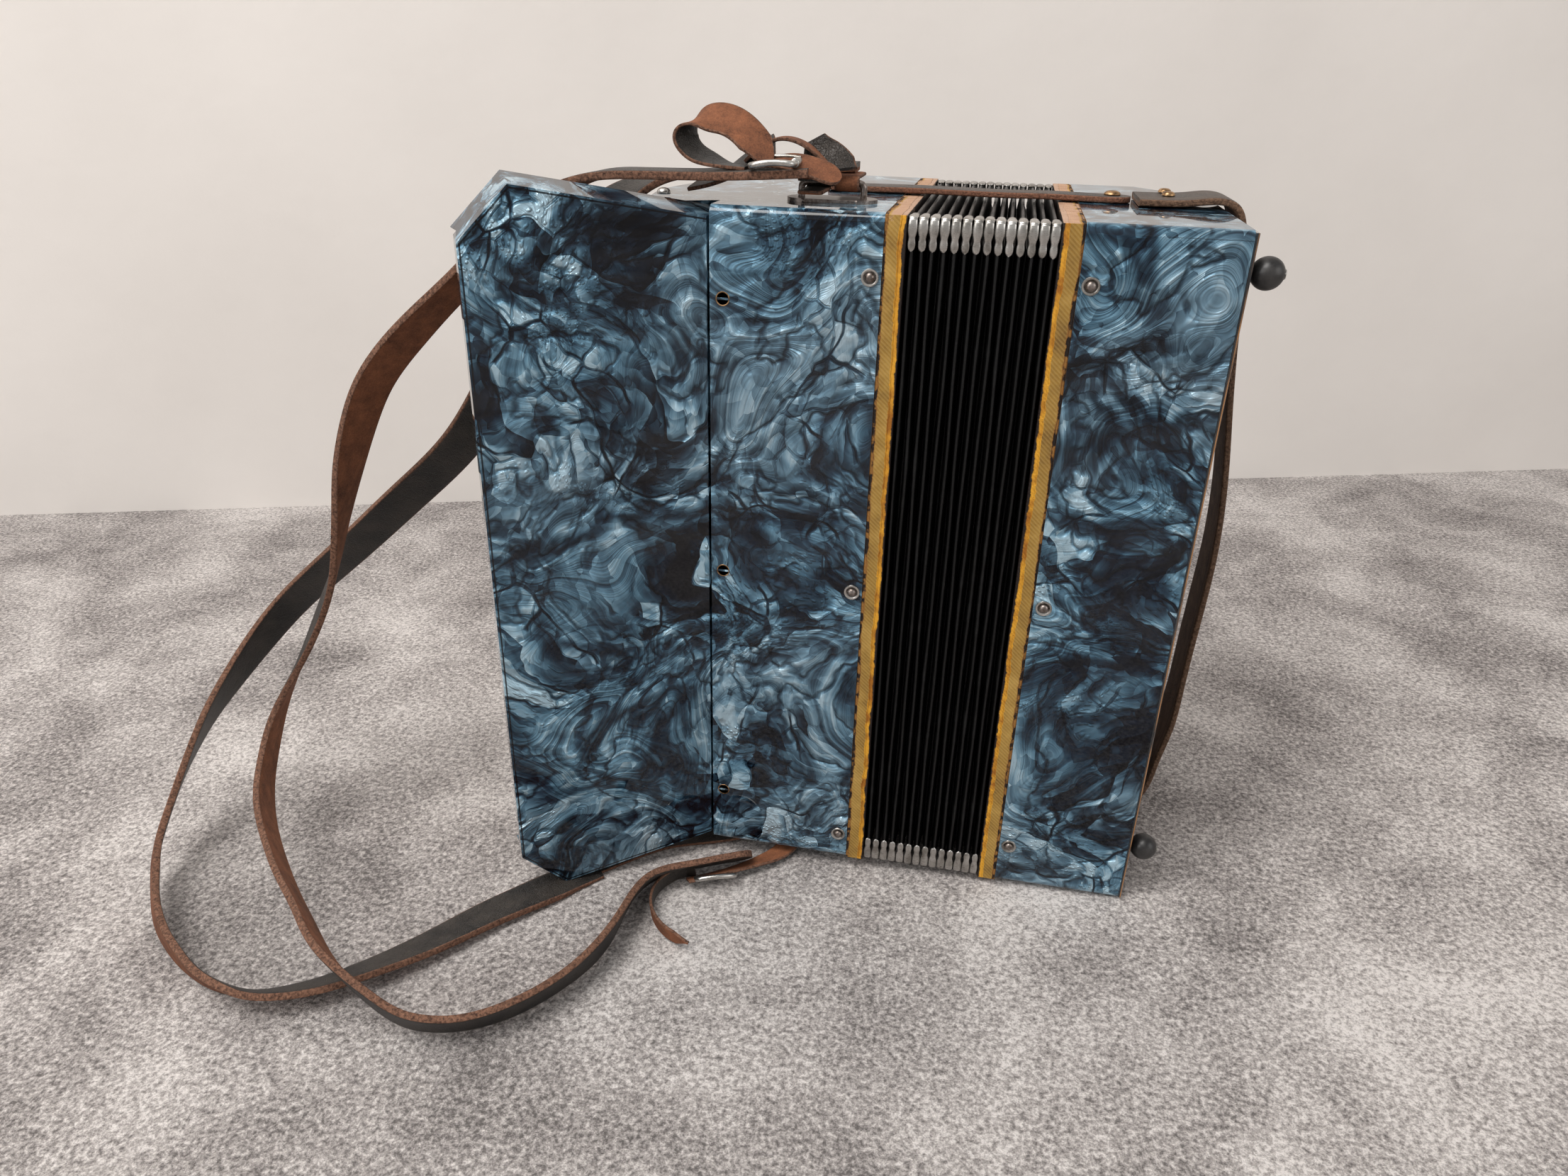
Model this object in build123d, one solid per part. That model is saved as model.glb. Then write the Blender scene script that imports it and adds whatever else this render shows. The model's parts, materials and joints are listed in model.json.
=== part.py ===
"""Piano accordion, 34 treble keys and 48 bass buttons, standing on its lower end.

Everything is modelled in the instrument's own frame, in millimetres: x runs from the keyboard to the
bass end, y from the player's side to the audience's side, z up the keyboard.  x = 0 is the left wall of
the treble casing, y = 0 the player's side of both casings, z = 0 their lower end.  stand() then leans the
finished instrument onto its keyboard foot and its bass edge and puts the origin below its middle.
"""
from build123d import *
import os
from math import atan2, cos, degrees, hypot, radians, sin

# casings and bellows
BODY_H = 400.0              # length of the casings, up the keyboard
DEPTH = 212.0               # player's side to audience's side
TREBLE_W = 89.0
BELLOWS_W = 96.0            # closed bellows with both frames
BASS_W = 78.0               # with its end plate
WALL = 7.0
EDGE_R = 5.0
SEAM = 1.4                  # groove between keyboard and treble casing
FIT = 0.3                   # clearance between separate pieces

# keyboard block: a flared, tapered slab that leans towards the player
KEYB_W = 123.0
KEYB_LEAN = 31.4            # degrees between the slab's back and the casing's back
KEYB_FLARE = 10.6           # how far its outer end stands past the casing, top and bottom
KEYB_TUCK = 5.5             # how far its inner end stops short of the casing's end
KEYB_CUT = 26.0             # size of its chamfered outer corners
KEYB_T = 28.0               # thickness of the cheeks
KEYB_DRAFT = 4.0            # the end walls widen by this much over the thickness
BED_T = 9.0
LIP_W = 5.0
LIP_T = 14.0

# keys
WHITE_COUNT = 20
WHITE_PITCH = 18.8
KEY_GAP = 0.5
WHITE_TOP = 25.5
KEY_DROP = 4.2              # clearance under a key for its travel
BLACK_W = 9.6
BLACK_GAP = 0.6
BLACK_RISE = 9.0
BLACK_END = 78.0            # outer end of the black keys, along the slab
KEY_INNER = -9.0
KEY_TRAVEL_DEG = 2.0
AXLE_R = 1.6
AXLE_RUN = 0.05             # radial clearance of a key on the axle
AXLE_U = 2.0
AXLE_N = 19.0
ARM_W = 3.0
PALLET_T = 6.0
PALLET_L = 28.0
PALLET_W = 12.0
PALLET_SEAT = 0.2
WHITE_PALLET_Y = 86.0
BLACK_PALLET_Y = 128.0

# treble casing, soundboard and grille
SOUNDBOARD_X = 40.0
SOUNDBOARD_T = 6.0
GRILLE_X = 44.0             # where the grille meets the front of the casing
GRILLE_U = 16.0             # where it comes down onto the keys
GRILLE_N = 52.0             # height of its straight side
GRILLE_R = 150.0
GRILLE_WALL = 3.0
GRILLE_SHORT = 1.0          # the grille stops this far inside the casing's ends
SIDE_Y = 60.0               # the treble casing's left wall, end to end
SLOT_W = 6.0
SLOT_L = 96.0
SLOT_STEP_DEG = 6.5
SLOT_COLUMNS = 7
SLOT_TIERS = 3

# bellows
FRAME_T = 11.0              # visible part of each bellows frame
FRAME_WALL = 16.0
FRAME_LIP = 14.0            # the part that slides into the casing
FRAME_LIP_T = 8.0
FOLDS = 14
FOLD_DEPTH = 17.0
FOLD_INSET = 1.6
FOLD_SKIN = 1.2
CREST = 1.8
CAP_LEG = 14.0
CAP_T = 0.9
CAP_W = 3.4
BELLOWS_TRAVEL = 220.0

# reed blocks
BLOCK_L = BODY_H - 44.0
BLOCK_W = 24.0
BLOCK_TOP_W = 17.0
BLOCK_H = 34.0
BLOCK_STEP = 50.0
BLOCKS = 3
BASS_BLOCK_H = 30.0

# bass end
END_T = 2.0
END_INSET = 1.0
SLANT_Y = 58.0              # the button board cuts the front edge of the bass end
SLANT_X = 40.0
BUTTON_ROWS = 4
BUTTON_COLUMNS = 12
BUTTON_PITCH = 18.0
BUTTON_ROW_STEP = 13.5
BUTTON_SKEW = 5.0
BUTTON_R = 4.3
BUTTON_RISE = 5.5
BUTTON_STEM = 9.0
BUTTON_TRAVEL = 4.0
AIR_R = 5.5
AIR_Y = 46.0
AIR_Z = BODY_H - 82.0
FOOT_R = 8.0
FOOT_STAND = 10.0
FOOT_Y = 10.0
FOOT_TOP_Z = BODY_H - 20.0
FOOT_LOW_Z = 36.0

# fittings
PIN_HEAD_R = 2.6
PIN_WASHER_R = 4.5
PIN_R = 1.1
PIN_X = 5.8                 # from the casing's edge at the bellows
TREBLE_PIN_Z = (BODY_H - 31.0, 193.0, 19.0)
BASS_PIN_Z = (BODY_H - 29.0, 196.0, 29.0)
SCREW_R = 3.3
SCREW_X = 7.0
SCREW_Z = (BODY_H - 46.0, 198.0, 41.0)
BRACKET_X = 56.0
BRACKET_Y = 42.0
BRACKET_L = 48.0
BRACKET_B = 22.0
BRACKET_PLATE = 1.8
BRACKET_SPAN = 33.0
BRACKET_WIRE = 1.8
BRACKET_RISE = 11.0
BRACKET_LOW_X = 44.0
BRACKET_LOW_RISE = 8.0
STRAP_W = 25.0
STRAP_T = 4.6               # two layers of leather
BILLET_W = 13.0
BILLET_T = 2.0
LOOP_L = 24.0
CURL_W = 20.0
BUCKLE_WIRE = 1.7
LOW_BILLET_X = (BRACKET_LOW_X - 7.5, BRACKET_LOW_X + 7.5)
TAB_Y = DEPTH - 110.0
TAB_W = 20.0
TAB_T = 3.4
TAB_X = 44.0
STUD_R = 4.6
STUD_NECK_R = 2.0
GRILLE_PIN = (-36.0, 40.0)
HAND_W = 46.0
HAND_T = 4.0
HAND_Y = DEPTH - 108.0
HAND_BOW = 28.0             # furthest the hand strap's middle stands out from the end plate
HAND_TURN_DEG = -3.0
HAND_SLANT = 15.0           # its lower end is fixed this much nearer the player
HAND_SCREW_Y = (HAND_Y - 3.0, HAND_Y + 15.0)

FOLDS_X = TREBLE_W + FRAME_T
FOLDS_W = BELLOWS_W - 2 * FRAME_T
BASS_X = TREBLE_W + BELLOWS_W
STUD_X = BASS_X + 18.0
HAND_SCREW_X = BASS_X + 47.5
END_X = BASS_X + BASS_W
CASE_END_X = END_X - END_T


# ---- placing -------------------------------------------------------------------------------------
LEAN = radians(KEYB_LEAN)
KEYB = Plane(origin=(-SEAM, 0, 0), x_dir=(-cos(LEAN), -sin(LEAN), 0), z_dir=(-sin(LEAN), cos(LEAN), 0))


def on_keyboard(u, n):
    """A point of the slab's section, u outwards from the seam and n up from its back, as x and y."""
    return -SEAM - u * cos(LEAN) - n * sin(LEAN), -u * sin(LEAN) + n * cos(LEAN)


def block(x0, x1, y0, y1, z0, z1):
    """A box from its two limits along each axis."""
    return Pos((x0 + x1) / 2, (y0 + y1) / 2, (z0 + z1) / 2) * Box(x1 - x0, y1 - y0, z1 - z0)


def prism(points, z0, z1):
    """A polygon in x and y, carried from z0 to z1."""
    return Pos(0, 0, z0) * extrude(make_face(Polyline(*points, close=True)), z1 - z0)


def rod(x, y, z, axis, radius, length):
    """A cylinder that starts at a point and runs along an axis."""
    return Plane(origin=(x, y, z), z_dir=axis) * Cylinder(
        radius, length, align=(Align.CENTER, Align.CENTER, Align.MIN))


def ring(x0, x1, inset, wall):
    """A rectangular ring round the bellows' axis, inset from the casing's outside."""
    outer = block(x0, x1, inset, DEPTH - inset, inset, BODY_H - inset)
    gap = inset + wall
    return outer - block(x0 - 1, x1 + 1, gap, DEPTH - gap, gap, BODY_H - gap)


# ---- keyboard block ------------------------------------------------------------------------------
def keyboard_outline(spread):
    """The slab's outline in u and z: flared ends and chamfered outer corners, spread outwards."""
    slope = (KEYB_FLARE + KEYB_TUCK) / (KEYB_W - KEYB_CUT)
    inner = -30.0
    tuck = KEYB_TUCK - slope * inner - spread
    low = -KEYB_FLARE - spread
    side = low + KEYB_CUT
    top = BODY_H - low
    return [(inner, tuck), (KEYB_W - KEYB_CUT, low), (KEYB_W, side), (KEYB_W, BODY_H - side),
            (KEYB_W - KEYB_CUT, top), (inner, BODY_H - tuck)]


def key_well():
    """Where the keys lie: z limits between the cheeks."""
    half = WHITE_COUNT * WHITE_PITCH / 2
    return BODY_H / 2 - half - FIT, BODY_H / 2 + half + FIT


def keyboard_frame():
    near = Wire.make_polygon([(u, z, 0) for u, z in keyboard_outline(0)])
    far = Wire.make_polygon([(u, z, KEYB_T) for u, z in keyboard_outline(KEYB_DRAFT)])
    slab = Solid.make_loft([near, far], ruled=True)
    low, high = key_well()
    slab -= block(-40, KEYB_W - LIP_W, low, high, BED_T, KEYB_T + 1)
    slab -= block(-40, KEYB_W + 1, low, high, LIP_T, KEYB_T + 1)
    slab = KEYB * slab
    slab -= block(-SEAM, 60, -60, 120, -60, BODY_H + 60)
    return slab - axle_rod(AXLE_R)


def axle_rod(radius):
    """The key axle as a plain rod, its ends let into the cheeks."""
    x, y = on_keyboard(AXLE_U, AXLE_N)
    low, high = key_well()
    return rod(x, y, low - 4.5, (0, 0, 1), radius, high - low + 9.0)


# ---- keys ----------------------------------------------------------------------------------------
def key_list():
    """Every key from low to high: colour, centre z, and whether a black key stands on either side."""
    after = [True, True, False, True, True, False, True]      # G A B C D E F: is a black key above it
    start = key_well()[0] + FIT
    keys = []
    for i in range(WHITE_COUNT):
        centre = start + (i + 0.5) * WHITE_PITCH
        below = i > 0 and after[(i - 1) % 7]
        above = i < WHITE_COUNT - 1 and after[i % 7]
        keys.append(("white", centre, below, above))
        if above:
            keys.append(("black", centre + WHITE_PITCH / 2, False, False))
    return keys


def key_arm(z, pallet_y, stand_off):
    """The bent steel arm from the stick's inner end up behind the grille to its pallet."""
    x0, y0 = on_keyboard(KEY_INNER, (WHITE_TOP + LIP_T) / 2)
    seat = SOUNDBOARD_X - PALLET_T - PALLET_SEAT
    knee = x0 + 8.0
    run = seat - stand_off
    line = Polyline((x0 - 4.0, y0 - 2.4), (knee, y0 + 10.0), (run, y0 + 34.0), (run, pallet_y - 8.0),
                    (seat - 1.6, pallet_y), (seat - 1.6, pallet_y + 6.0))
    return Pos(0, 0, z - ARM_W / 2) * extrude(trace(line, 3.2), ARM_W)


def key(colour, z, below, above):
    """One key: wooden stick on the axle, its steel arm, and the pallet that the arm lifts."""
    bottom = BED_T + KEY_DROP
    half = (WHITE_PITCH - KEY_GAP) / 2
    side = BLACK_W / 2 + BLACK_GAP
    if colour == "white":
        low = z - (WHITE_PITCH / 2 - side if below else half)
        high = z + (WHITE_PITCH / 2 - side if above else half)
        stick = block(KEY_INNER, BLACK_END + 2, low, high, bottom, WHITE_TOP)
        stick += block(BLACK_END + 1, KEYB_W - LIP_W - 1, z - half, z + half, bottom, WHITE_TOP)
        pallet_y = WHITE_PALLET_Y
        stand_off = 3.0
    else:
        low, high = z - BLACK_W / 2, z + BLACK_W / 2
        stick = block(KEY_INNER, BLACK_END, low, high, bottom, WHITE_TOP - 2)
        cap = make_face(Polyline((GRILLE_U + 2, WHITE_TOP - 3), (BLACK_END, WHITE_TOP - 3),
                                 (BLACK_END - 5, WHITE_TOP + BLACK_RISE),
                                 (GRILLE_U + 2, WHITE_TOP + BLACK_RISE), close=True))
        cap = extrude(Plane.XZ * cap, BLACK_W, dir=(0, 1, 0))
        stick += Pos(0, low, 0) * cap
        pallet_y = BLACK_PALLET_Y
        stand_off = 9.0
    middle = (low + high) / 2
    stick = KEYB * stick + key_arm(middle, pallet_y, stand_off)
    stick -= axle_rod(AXLE_R + AXLE_RUN)
    seat = SOUNDBOARD_X - PALLET_SEAT
    half_l = PALLET_L / 2
    pallet = block(seat - PALLET_T, seat, pallet_y - half_l, pallet_y + half_l,
                   middle - PALLET_W / 2, middle + PALLET_W / 2)
    return [stick, pallet - stick]


# ---- treble casing -------------------------------------------------------------------------------
def casing_outline(inset=0.0):
    """The treble casing's section: a box whose front left corner is left open for the grille."""
    return [(inset, inset), (TREBLE_W, inset), (TREBLE_W, DEPTH - inset), (GRILLE_X, DEPTH - inset),
            (inset, SIDE_Y)]


def treble_casing():
    shell = prism(casing_outline(), 0, BODY_H)
    ends = shell.edges().filter_by(Axis.X).filter_by(
        lambda e: e.center().Y < 1 or e.center().Y > DEPTH - 1)
    shell = fillet(ends, EDGE_R)
    shell -= block(SOUNDBOARD_X + SOUNDBOARD_T, TREBLE_W + 1, WALL, DEPTH - WALL, WALL, BODY_H - WALL)
    pit = [(WALL, WALL), (SOUNDBOARD_X, WALL), (SOUNDBOARD_X, DEPTH + 5), (-20, DEPTH + 5), (-20, 14),
           (WALL, 14)]
    shell -= prism(pit, WALL, BODY_H - WALL)
    for colour, z, below, above in key_list():
        side = BLACK_W / 2 + BLACK_GAP
        half = (WHITE_PITCH - KEY_GAP) / 2
        if colour == "white":
            low = z - (WHITE_PITCH / 2 - side if below else half)
            high = z + (WHITE_PITCH / 2 - side if above else half)
            z = (low + high) / 2
        y = WHITE_PALLET_Y if colour == "white" else BLACK_PALLET_Y
        shell -= block(SOUNDBOARD_X - 1, SOUNDBOARD_X + SOUNDBOARD_T + 1, y - 10, y + 10, z - 4.5, z + 4.5)
    shell -= fastener_holes("treble")
    return shell


def grille_centre():
    """Centre of the arc that joins the grille's straight side to the front of the casing."""
    x0, y0 = on_keyboard(GRILLE_U, GRILLE_N)
    half = hypot(GRILLE_X - x0, DEPTH - y0) / 2
    lift = (GRILLE_R ** 2 - half ** 2) ** 0.5
    ux, uy = (GRILLE_X - x0) / (2 * half), (DEPTH - y0) / (2 * half)
    return (x0 + GRILLE_X) / 2 + uy * lift, (y0 + DEPTH) / 2 - ux * lift


def grille_section(inset):
    """Section of the grille, closed along the keys and along the casing's open corner."""
    cx, cy = grille_centre()
    radius = GRILLE_R - inset
    key_edge = KEYB_T - (inset and 3.0)
    base = on_keyboard(GRILLE_U - inset, key_edge)
    side = on_keyboard(GRILLE_U - inset, GRILLE_N)
    a0 = atan2(side[1] - cy, side[0] - cx)
    a1 = atan2(DEPTH - cy, GRILLE_X - cx)
    start = (cx + radius * cos(a0), cy + radius * sin(a0))
    mid = (cx + radius * cos((a0 % 6.2832 + a1) / 2), cy + radius * sin((a0 % 6.2832 + a1) / 2))
    end = (cx + radius * cos(a1), cy + radius * sin(a1))
    gap = -FIT if not inset else 8.0
    low = on_keyboard(-(KEYB_T * sin(LEAN) + SEAM) / cos(LEAN), key_edge)
    corner = (gap, low[1])
    wire = [Line(base, start), ThreePointArc(start, mid, end)]
    if inset:
        wire.append(Polyline(end, (GRILLE_X + 6, DEPTH - 8), (8, SIDE_Y), corner, base))
    else:
        wire.append(Polyline(end, (-FIT, SIDE_Y), corner, base))
    return make_face(wire)


def treble_grille():
    low, high = GRILLE_SHORT, BODY_H - GRILLE_SHORT
    shell = Pos(0, 0, low) * extrude(grille_section(0), high - low)
    inner = Pos(0, 0, WALL) * extrude(grille_section(GRILLE_WALL), BODY_H - 2 * WALL)
    shell -= inner
    cx, cy = grille_centre()
    middle = 157.0
    for tier in range(SLOT_TIERS):
        z = BODY_H / 2 + (tier - (SLOT_TIERS - 1) / 2) * (SLOT_L + 18)
        for column in range(SLOT_COLUMNS):
            turn = middle + (column - (SLOT_COLUMNS - 1) / 2) * SLOT_STEP_DEG
            cutter = Pos(GRILLE_R, 0, 0) * Box(24, SLOT_W, SLOT_L)
            shell -= Pos(cx, cy, z) * Rot(0, 0, turn) * cutter
    shell -= fastener_holes("treble")
    return shell


def reed_blocks(x0, x1, count, depth):
    """Tapered wooden blocks that stand on a soundboard, with a groove each side for the reed plates."""
    out = []
    for i in range(count):
        y = DEPTH / 2 + (i - (count - 1) / 2) * depth
        sign = 1 if x1 > x0 else -1
        section = [(x0, y - BLOCK_W / 2), (x1 - sign * 4, y - BLOCK_TOP_W / 2), (x1, y - BLOCK_TOP_W / 2 + 3),
                   (x1, y + BLOCK_TOP_W / 2 - 3), (x1 - sign * 4, y + BLOCK_TOP_W / 2), (x0, y + BLOCK_W / 2)]
        solid = prism(section, (BODY_H - BLOCK_L) / 2, (BODY_H + BLOCK_L) / 2)
        out.append(solid)
    return out


# ---- bellows -------------------------------------------------------------------------------------
def bellows_frame(side):
    """Wooden frame glued to the folds: a flange in line with the casing and a lip that slides into it."""
    if side == "treble":
        flange = ring(TREBLE_W, TREBLE_W + FRAME_T, 0.4, FRAME_WALL)
        lip = ring(TREBLE_W - FRAME_LIP, TREBLE_W, WALL + FIT, FRAME_LIP_T)
    else:
        flange = ring(BASS_X - FRAME_T, BASS_X, 0.4, FRAME_WALL)
        lip = ring(BASS_X, BASS_X + FRAME_LIP, WALL + FIT, FRAME_LIP_T)
    return flange + lip - fastener_holes(side)


def fold_wires(skin):
    """Rectangles along the closed bellows: crests and valleys in turn, moved inwards by the skin."""
    pitch = FOLDS_W / FOLDS
    wires = []
    marks = [(FIT, FOLD_DEPTH)]
    for i in range(FOLDS):
        x = (i + 0.5) * pitch
        marks += [(x - CREST / 2, 0.0), (x + CREST / 2, 0.0)]
        if i < FOLDS - 1:
            marks += [(x + pitch / 2 - 0.3, FOLD_DEPTH), (x + pitch / 2 + 0.3, FOLD_DEPTH)]
    marks.append((FOLDS_W - FIT, FOLD_DEPTH))
    for x, depth in marks:
        d = FOLD_INSET + depth + skin
        px = FOLDS_X + x
        wires.append(Wire.make_polygon([(px, d, d), (px, DEPTH - d, d), (px, DEPTH - d, BODY_H - d),
                                        (px, d, BODY_H - d)]))
    return wires


def bellows_folds():
    """The pleated cardboard tube."""
    outer = Solid.make_loft(fold_wires(0), ruled=True)
    inner = Solid.make_loft(fold_wires(FOLD_SKIN), ruled=True)
    return outer - inner


def bellows_corners():
    """Folded nickel caps over the four corners of every crest."""
    caps = []
    pitch = FOLDS_W / FOLDS
    skin = FOLD_INSET - CAP_T
    for i in range(FOLDS):
        x = FOLDS_X + (i + 0.5) * pitch
        near = block(x - CREST / 2, x + CREST / 2, skin, DEPTH - skin, skin, BODY_H - skin)
        near -= block(x - 9, x + 9, FOLD_INSET, DEPTH - FOLD_INSET, FOLD_INSET, BODY_H - FOLD_INSET)
        near -= block(x - 9, x + 9, CAP_LEG, DEPTH - CAP_LEG, -1, BODY_H + 1)
        near -= block(x - 9, x + 9, -1, DEPTH + 1, CAP_LEG, BODY_H - CAP_LEG)
        caps += list(near.solids())
    return caps


# ---- bass casing ---------------------------------------------------------------------------------
def slant():
    """The button board's plane: its middle, its direction towards the front and its outward normal."""
    length = hypot(SLANT_X, SLANT_Y)
    along = (-SLANT_X / length, SLANT_Y / length)
    normal = (SLANT_Y / length, SLANT_X / length)
    middle = (CASE_END_X - SLANT_X / 2, DEPTH - SLANT_Y / 2)
    return middle, along, normal


def button_places(row):
    """Centres of one row of buttons on the button board."""
    middle, along, normal = slant()
    shift = (row - (BUTTON_ROWS - 1) / 2) * BUTTON_ROW_STEP
    places = []
    for column in range(BUTTON_COLUMNS):
        z = BODY_H / 2 + (column - (BUTTON_COLUMNS - 1) / 2) * BUTTON_PITCH
        z += (row - (BUTTON_ROWS - 1) / 2) * BUTTON_SKEW
        places.append((middle[0] + along[0] * shift, middle[1] + along[1] * shift, z))
    return places


def button_row(row):
    """Twelve buttons with stems that pass through the board."""
    middle, along, normal = slant()
    out = []
    for x, y, z in button_places(row):
        start = (x - normal[0] * BUTTON_STEM, y - normal[1] * BUTTON_STEM, z)
        out.append(rod(*start, (normal[0], normal[1], 0), BUTTON_R, BUTTON_STEM + BUTTON_RISE))
    return out


def bass_outline(inset):
    """Section of the bass casing: a box with its front outer corner cut back for the buttons."""
    middle, along, normal = slant()
    x0, y0 = CASE_END_X - inset, DEPTH - inset
    # where the inset slant meets the inset end and front
    reach = normal[0] * CASE_END_X + normal[1] * (DEPTH - SLANT_Y) - inset * 1.3
    end_y = (reach - normal[0] * x0) / normal[1]
    front_x = (reach - normal[1] * y0) / normal[0]
    return [(BASS_X, inset), (x0, inset), (x0, end_y), (front_x, y0), (BASS_X, y0)]


def bass_casing():
    shell = prism(bass_outline(0), 0, BODY_H)
    ends = shell.edges().filter_by(Axis.X).filter_by(
        lambda e: e.center().Y < 1 or e.center().Y > DEPTH - 1)
    shell = fillet(ends, EDGE_R)
    shell -= prism([(BASS_X - 1, WALL)] + bass_outline(WALL)[1:4] + [(BASS_X - 1, DEPTH - WALL)],
                                  WALL, BODY_H - WALL)
    # soundboard of the bass side
    shell += block(BASS_X + 44, BASS_X + 49, WALL - 1, DEPTH - SLANT_Y, WALL - 1, BODY_H - WALL + 1)
    # the end is open behind the end plate
    shell -= block(CASE_END_X - WALL - 1, CASE_END_X + 1, WALL + 5, DEPTH - SLANT_Y - 12, WALL + 5,
                   BODY_H - WALL - 5)
    middle, along, normal = slant()
    for row in range(BUTTON_ROWS):
        for x, y, z in button_places(row):
            start = (x - normal[0] * 14, y - normal[1] * 14, z)
            shell -= rod(*start, (normal[0], normal[1], 0), BUTTON_R + FIT, 16)
    return shell - fastener_holes("bass")


def bass_end_plate():
    """Board that closes the bass end and carries the feet, the hand strap and the air button."""
    low, high = END_INSET, BODY_H - END_INSET
    plate = block(CASE_END_X, END_X, END_INSET, DEPTH - SLANT_Y - 2, low, high)
    plate -= rod(CASE_END_X - 1, AIR_Y, AIR_Z, (1, 0, 0), AIR_R + FIT, END_T + 2)
    return plate - fastener_holes("bass")


def air_button():
    """Push button that opens the air valve."""
    return rod(CASE_END_X - 4, AIR_Y, AIR_Z, (1, 0, 0), AIR_R, END_T + 4 + 5)


def foot_places():
    """The four feet: y, z."""
    far = DEPTH - SLANT_Y - 2 - FOOT_Y
    return [(FOOT_Y, FOOT_TOP_Z), (FOOT_Y, FOOT_LOW_Z), (far, FOOT_TOP_Z), (far, FOOT_LOW_Z)]


def bass_feet():
    """Rubber balls with a flat seat, each held by a slotted screw."""
    feet = []
    for y, z in foot_places():
        ball = Pos(END_X + FOOT_STAND - 1.5, y, z) * Sphere(FOOT_R)
        ball -= block(END_X - 20, END_X, y - 20, y + 20, z - 20, z + 20)
        head = rod(END_X + FOOT_STAND + FOOT_R - 5.0, y, z, (1, 0, 0), 2.4, 3.6)
        head -= block(END_X + FOOT_STAND + FOOT_R - 2.3, END_X + 40, y - 0.5, y + 0.5, z - 5, z + 5)
        feet.append(ball + head)
    return feet


# ---- fasteners -----------------------------------------------------------------------------------
def pin(x, y, z, out, length):
    """Domed nail on a cup washer, standing on a face; out is +1 or -1 along y."""
    washer = rod(x, y, z, (0, out, 0), PIN_WASHER_R, 0.9)
    dome = rod(x, y + out * 0.9, z, (0, out, 0), PIN_HEAD_R, 1.3)
    shaft = rod(x, y, z, (0, -out, 0), PIN_R, length)
    return washer + dome + shaft


def pin_places(side):
    """Both long faces of a casing, near its edge at the bellows: x, y, z, direction out."""
    x, heights = (TREBLE_W - PIN_X, TREBLE_PIN_Z) if side == "treble" else (BASS_X + PIN_X, BASS_PIN_Z)
    return [(x, y, z, out) for z in heights for y, out in ((0.0, -1), (DEPTH, 1))]


def treble_fasteners():
    """Bellows pins of the treble side, the three keyboard screws, and the two grille pins."""
    out = [pin(x, y, z, d, WALL + FRAME_LIP_T - 2) for x, y, z, d in pin_places("treble")]
    for z in SCREW_Z:
        screw = rod(SCREW_X, 0, z, (0, 1, 0), SCREW_R, 1.6) + rod(SCREW_X, 1.6, z, (0, 1, 0), 1.5, 4.0)
        screw -= block(SCREW_X - 9, SCREW_X + 9, -1, 0.7, z - 0.45, z + 0.45)
        out.append(screw)
    for z, way in ((0.0, -1), (BODY_H, 1)):
        dome = fillet(rod(*GRILLE_PIN, z, (0, 0, way), PIN_WASHER_R - 0.8, 3.2).edges()
                      .group_by(Axis.Z)[0 if way < 0 else -1], 2.4)
        out.append(dome)
    return out


def bass_fasteners():
    """Bellows pins, the stud of the bellows strap and the screws of the hand strap."""
    out = [pin(x, y, z, d, WALL + FRAME_LIP_T - 2) for x, y, z, d in pin_places("bass")]
    stud = rod(STUD_X, TAB_Y, BODY_H, (0, 0, 1), STUD_NECK_R, TAB_T + 1.4)
    stud += rod(STUD_X, TAB_Y, BODY_H + TAB_T + 2 * FIT, (0, 0, 1), STUD_R, 2.2)
    out.append(stud)
    for y in HAND_SCREW_Y:
        head = rod(HAND_SCREW_X, y, BODY_H + HAND_T + 3 * FIT, (0, 0, 1), 3.6, 2.2)
        head = fillet(head.edges().group_by(Axis.Z)[-1], 1.8)
        out.append(head + rod(HAND_SCREW_X, y, BODY_H - 5, (0, 0, 1), 1.5, HAND_T + 6.5))
    return out


def fastener_holes(side):
    """What the fasteners of one side take out of the pieces they hold."""
    holes = []
    for x, y, z, d in pin_places(side):
        holes.append(rod(x, y + d, z, (0, -d, 0), PIN_R, WALL + FRAME_LIP_T - 1))
    if side == "treble":
        for z in SCREW_Z:
            holes.append(rod(SCREW_X, -1, z, (0, 1, 0), SCREW_R, 2.6))
            holes.append(rod(SCREW_X, 0, z, (0, 1, 0), 1.5, 5.6))
    if side == "bass":
        holes += [rod(HAND_SCREW_X, y, BODY_H - 5, (0, 0, 1), 1.5, 6) for y in HAND_SCREW_Y]
    return holes


def strap_bracket(rise):
    """Steel staple on an oval plate, standing on z = 0 with its bar along x."""
    plate = extrude(SlotOverall(BRACKET_L, BRACKET_B), BRACKET_PLATE)
    leg = BRACKET_SPAN / 2
    top = rise - BRACKET_WIRE
    line = FilletPolyline((-leg, 0, BRACKET_PLATE / 2), (-leg, 0, top), (leg, 0, top),
                          (leg, 0, BRACKET_PLATE / 2), radius=BRACKET_WIRE * 1.4)
    staple = sweep(Plane(origin=line @ 0, z_dir=line % 0) * Circle(BRACKET_WIRE), path=line)
    return plate + staple


def strap_brackets():
    top = Pos(BRACKET_X, BRACKET_Y, BODY_H) * strap_bracket(BRACKET_RISE)
    low = Pos(BRACKET_LOW_X, BRACKET_Y, 0) * Rot(180, 0, 0) * strap_bracket(BRACKET_LOW_RISE)
    return [top, low]


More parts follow.
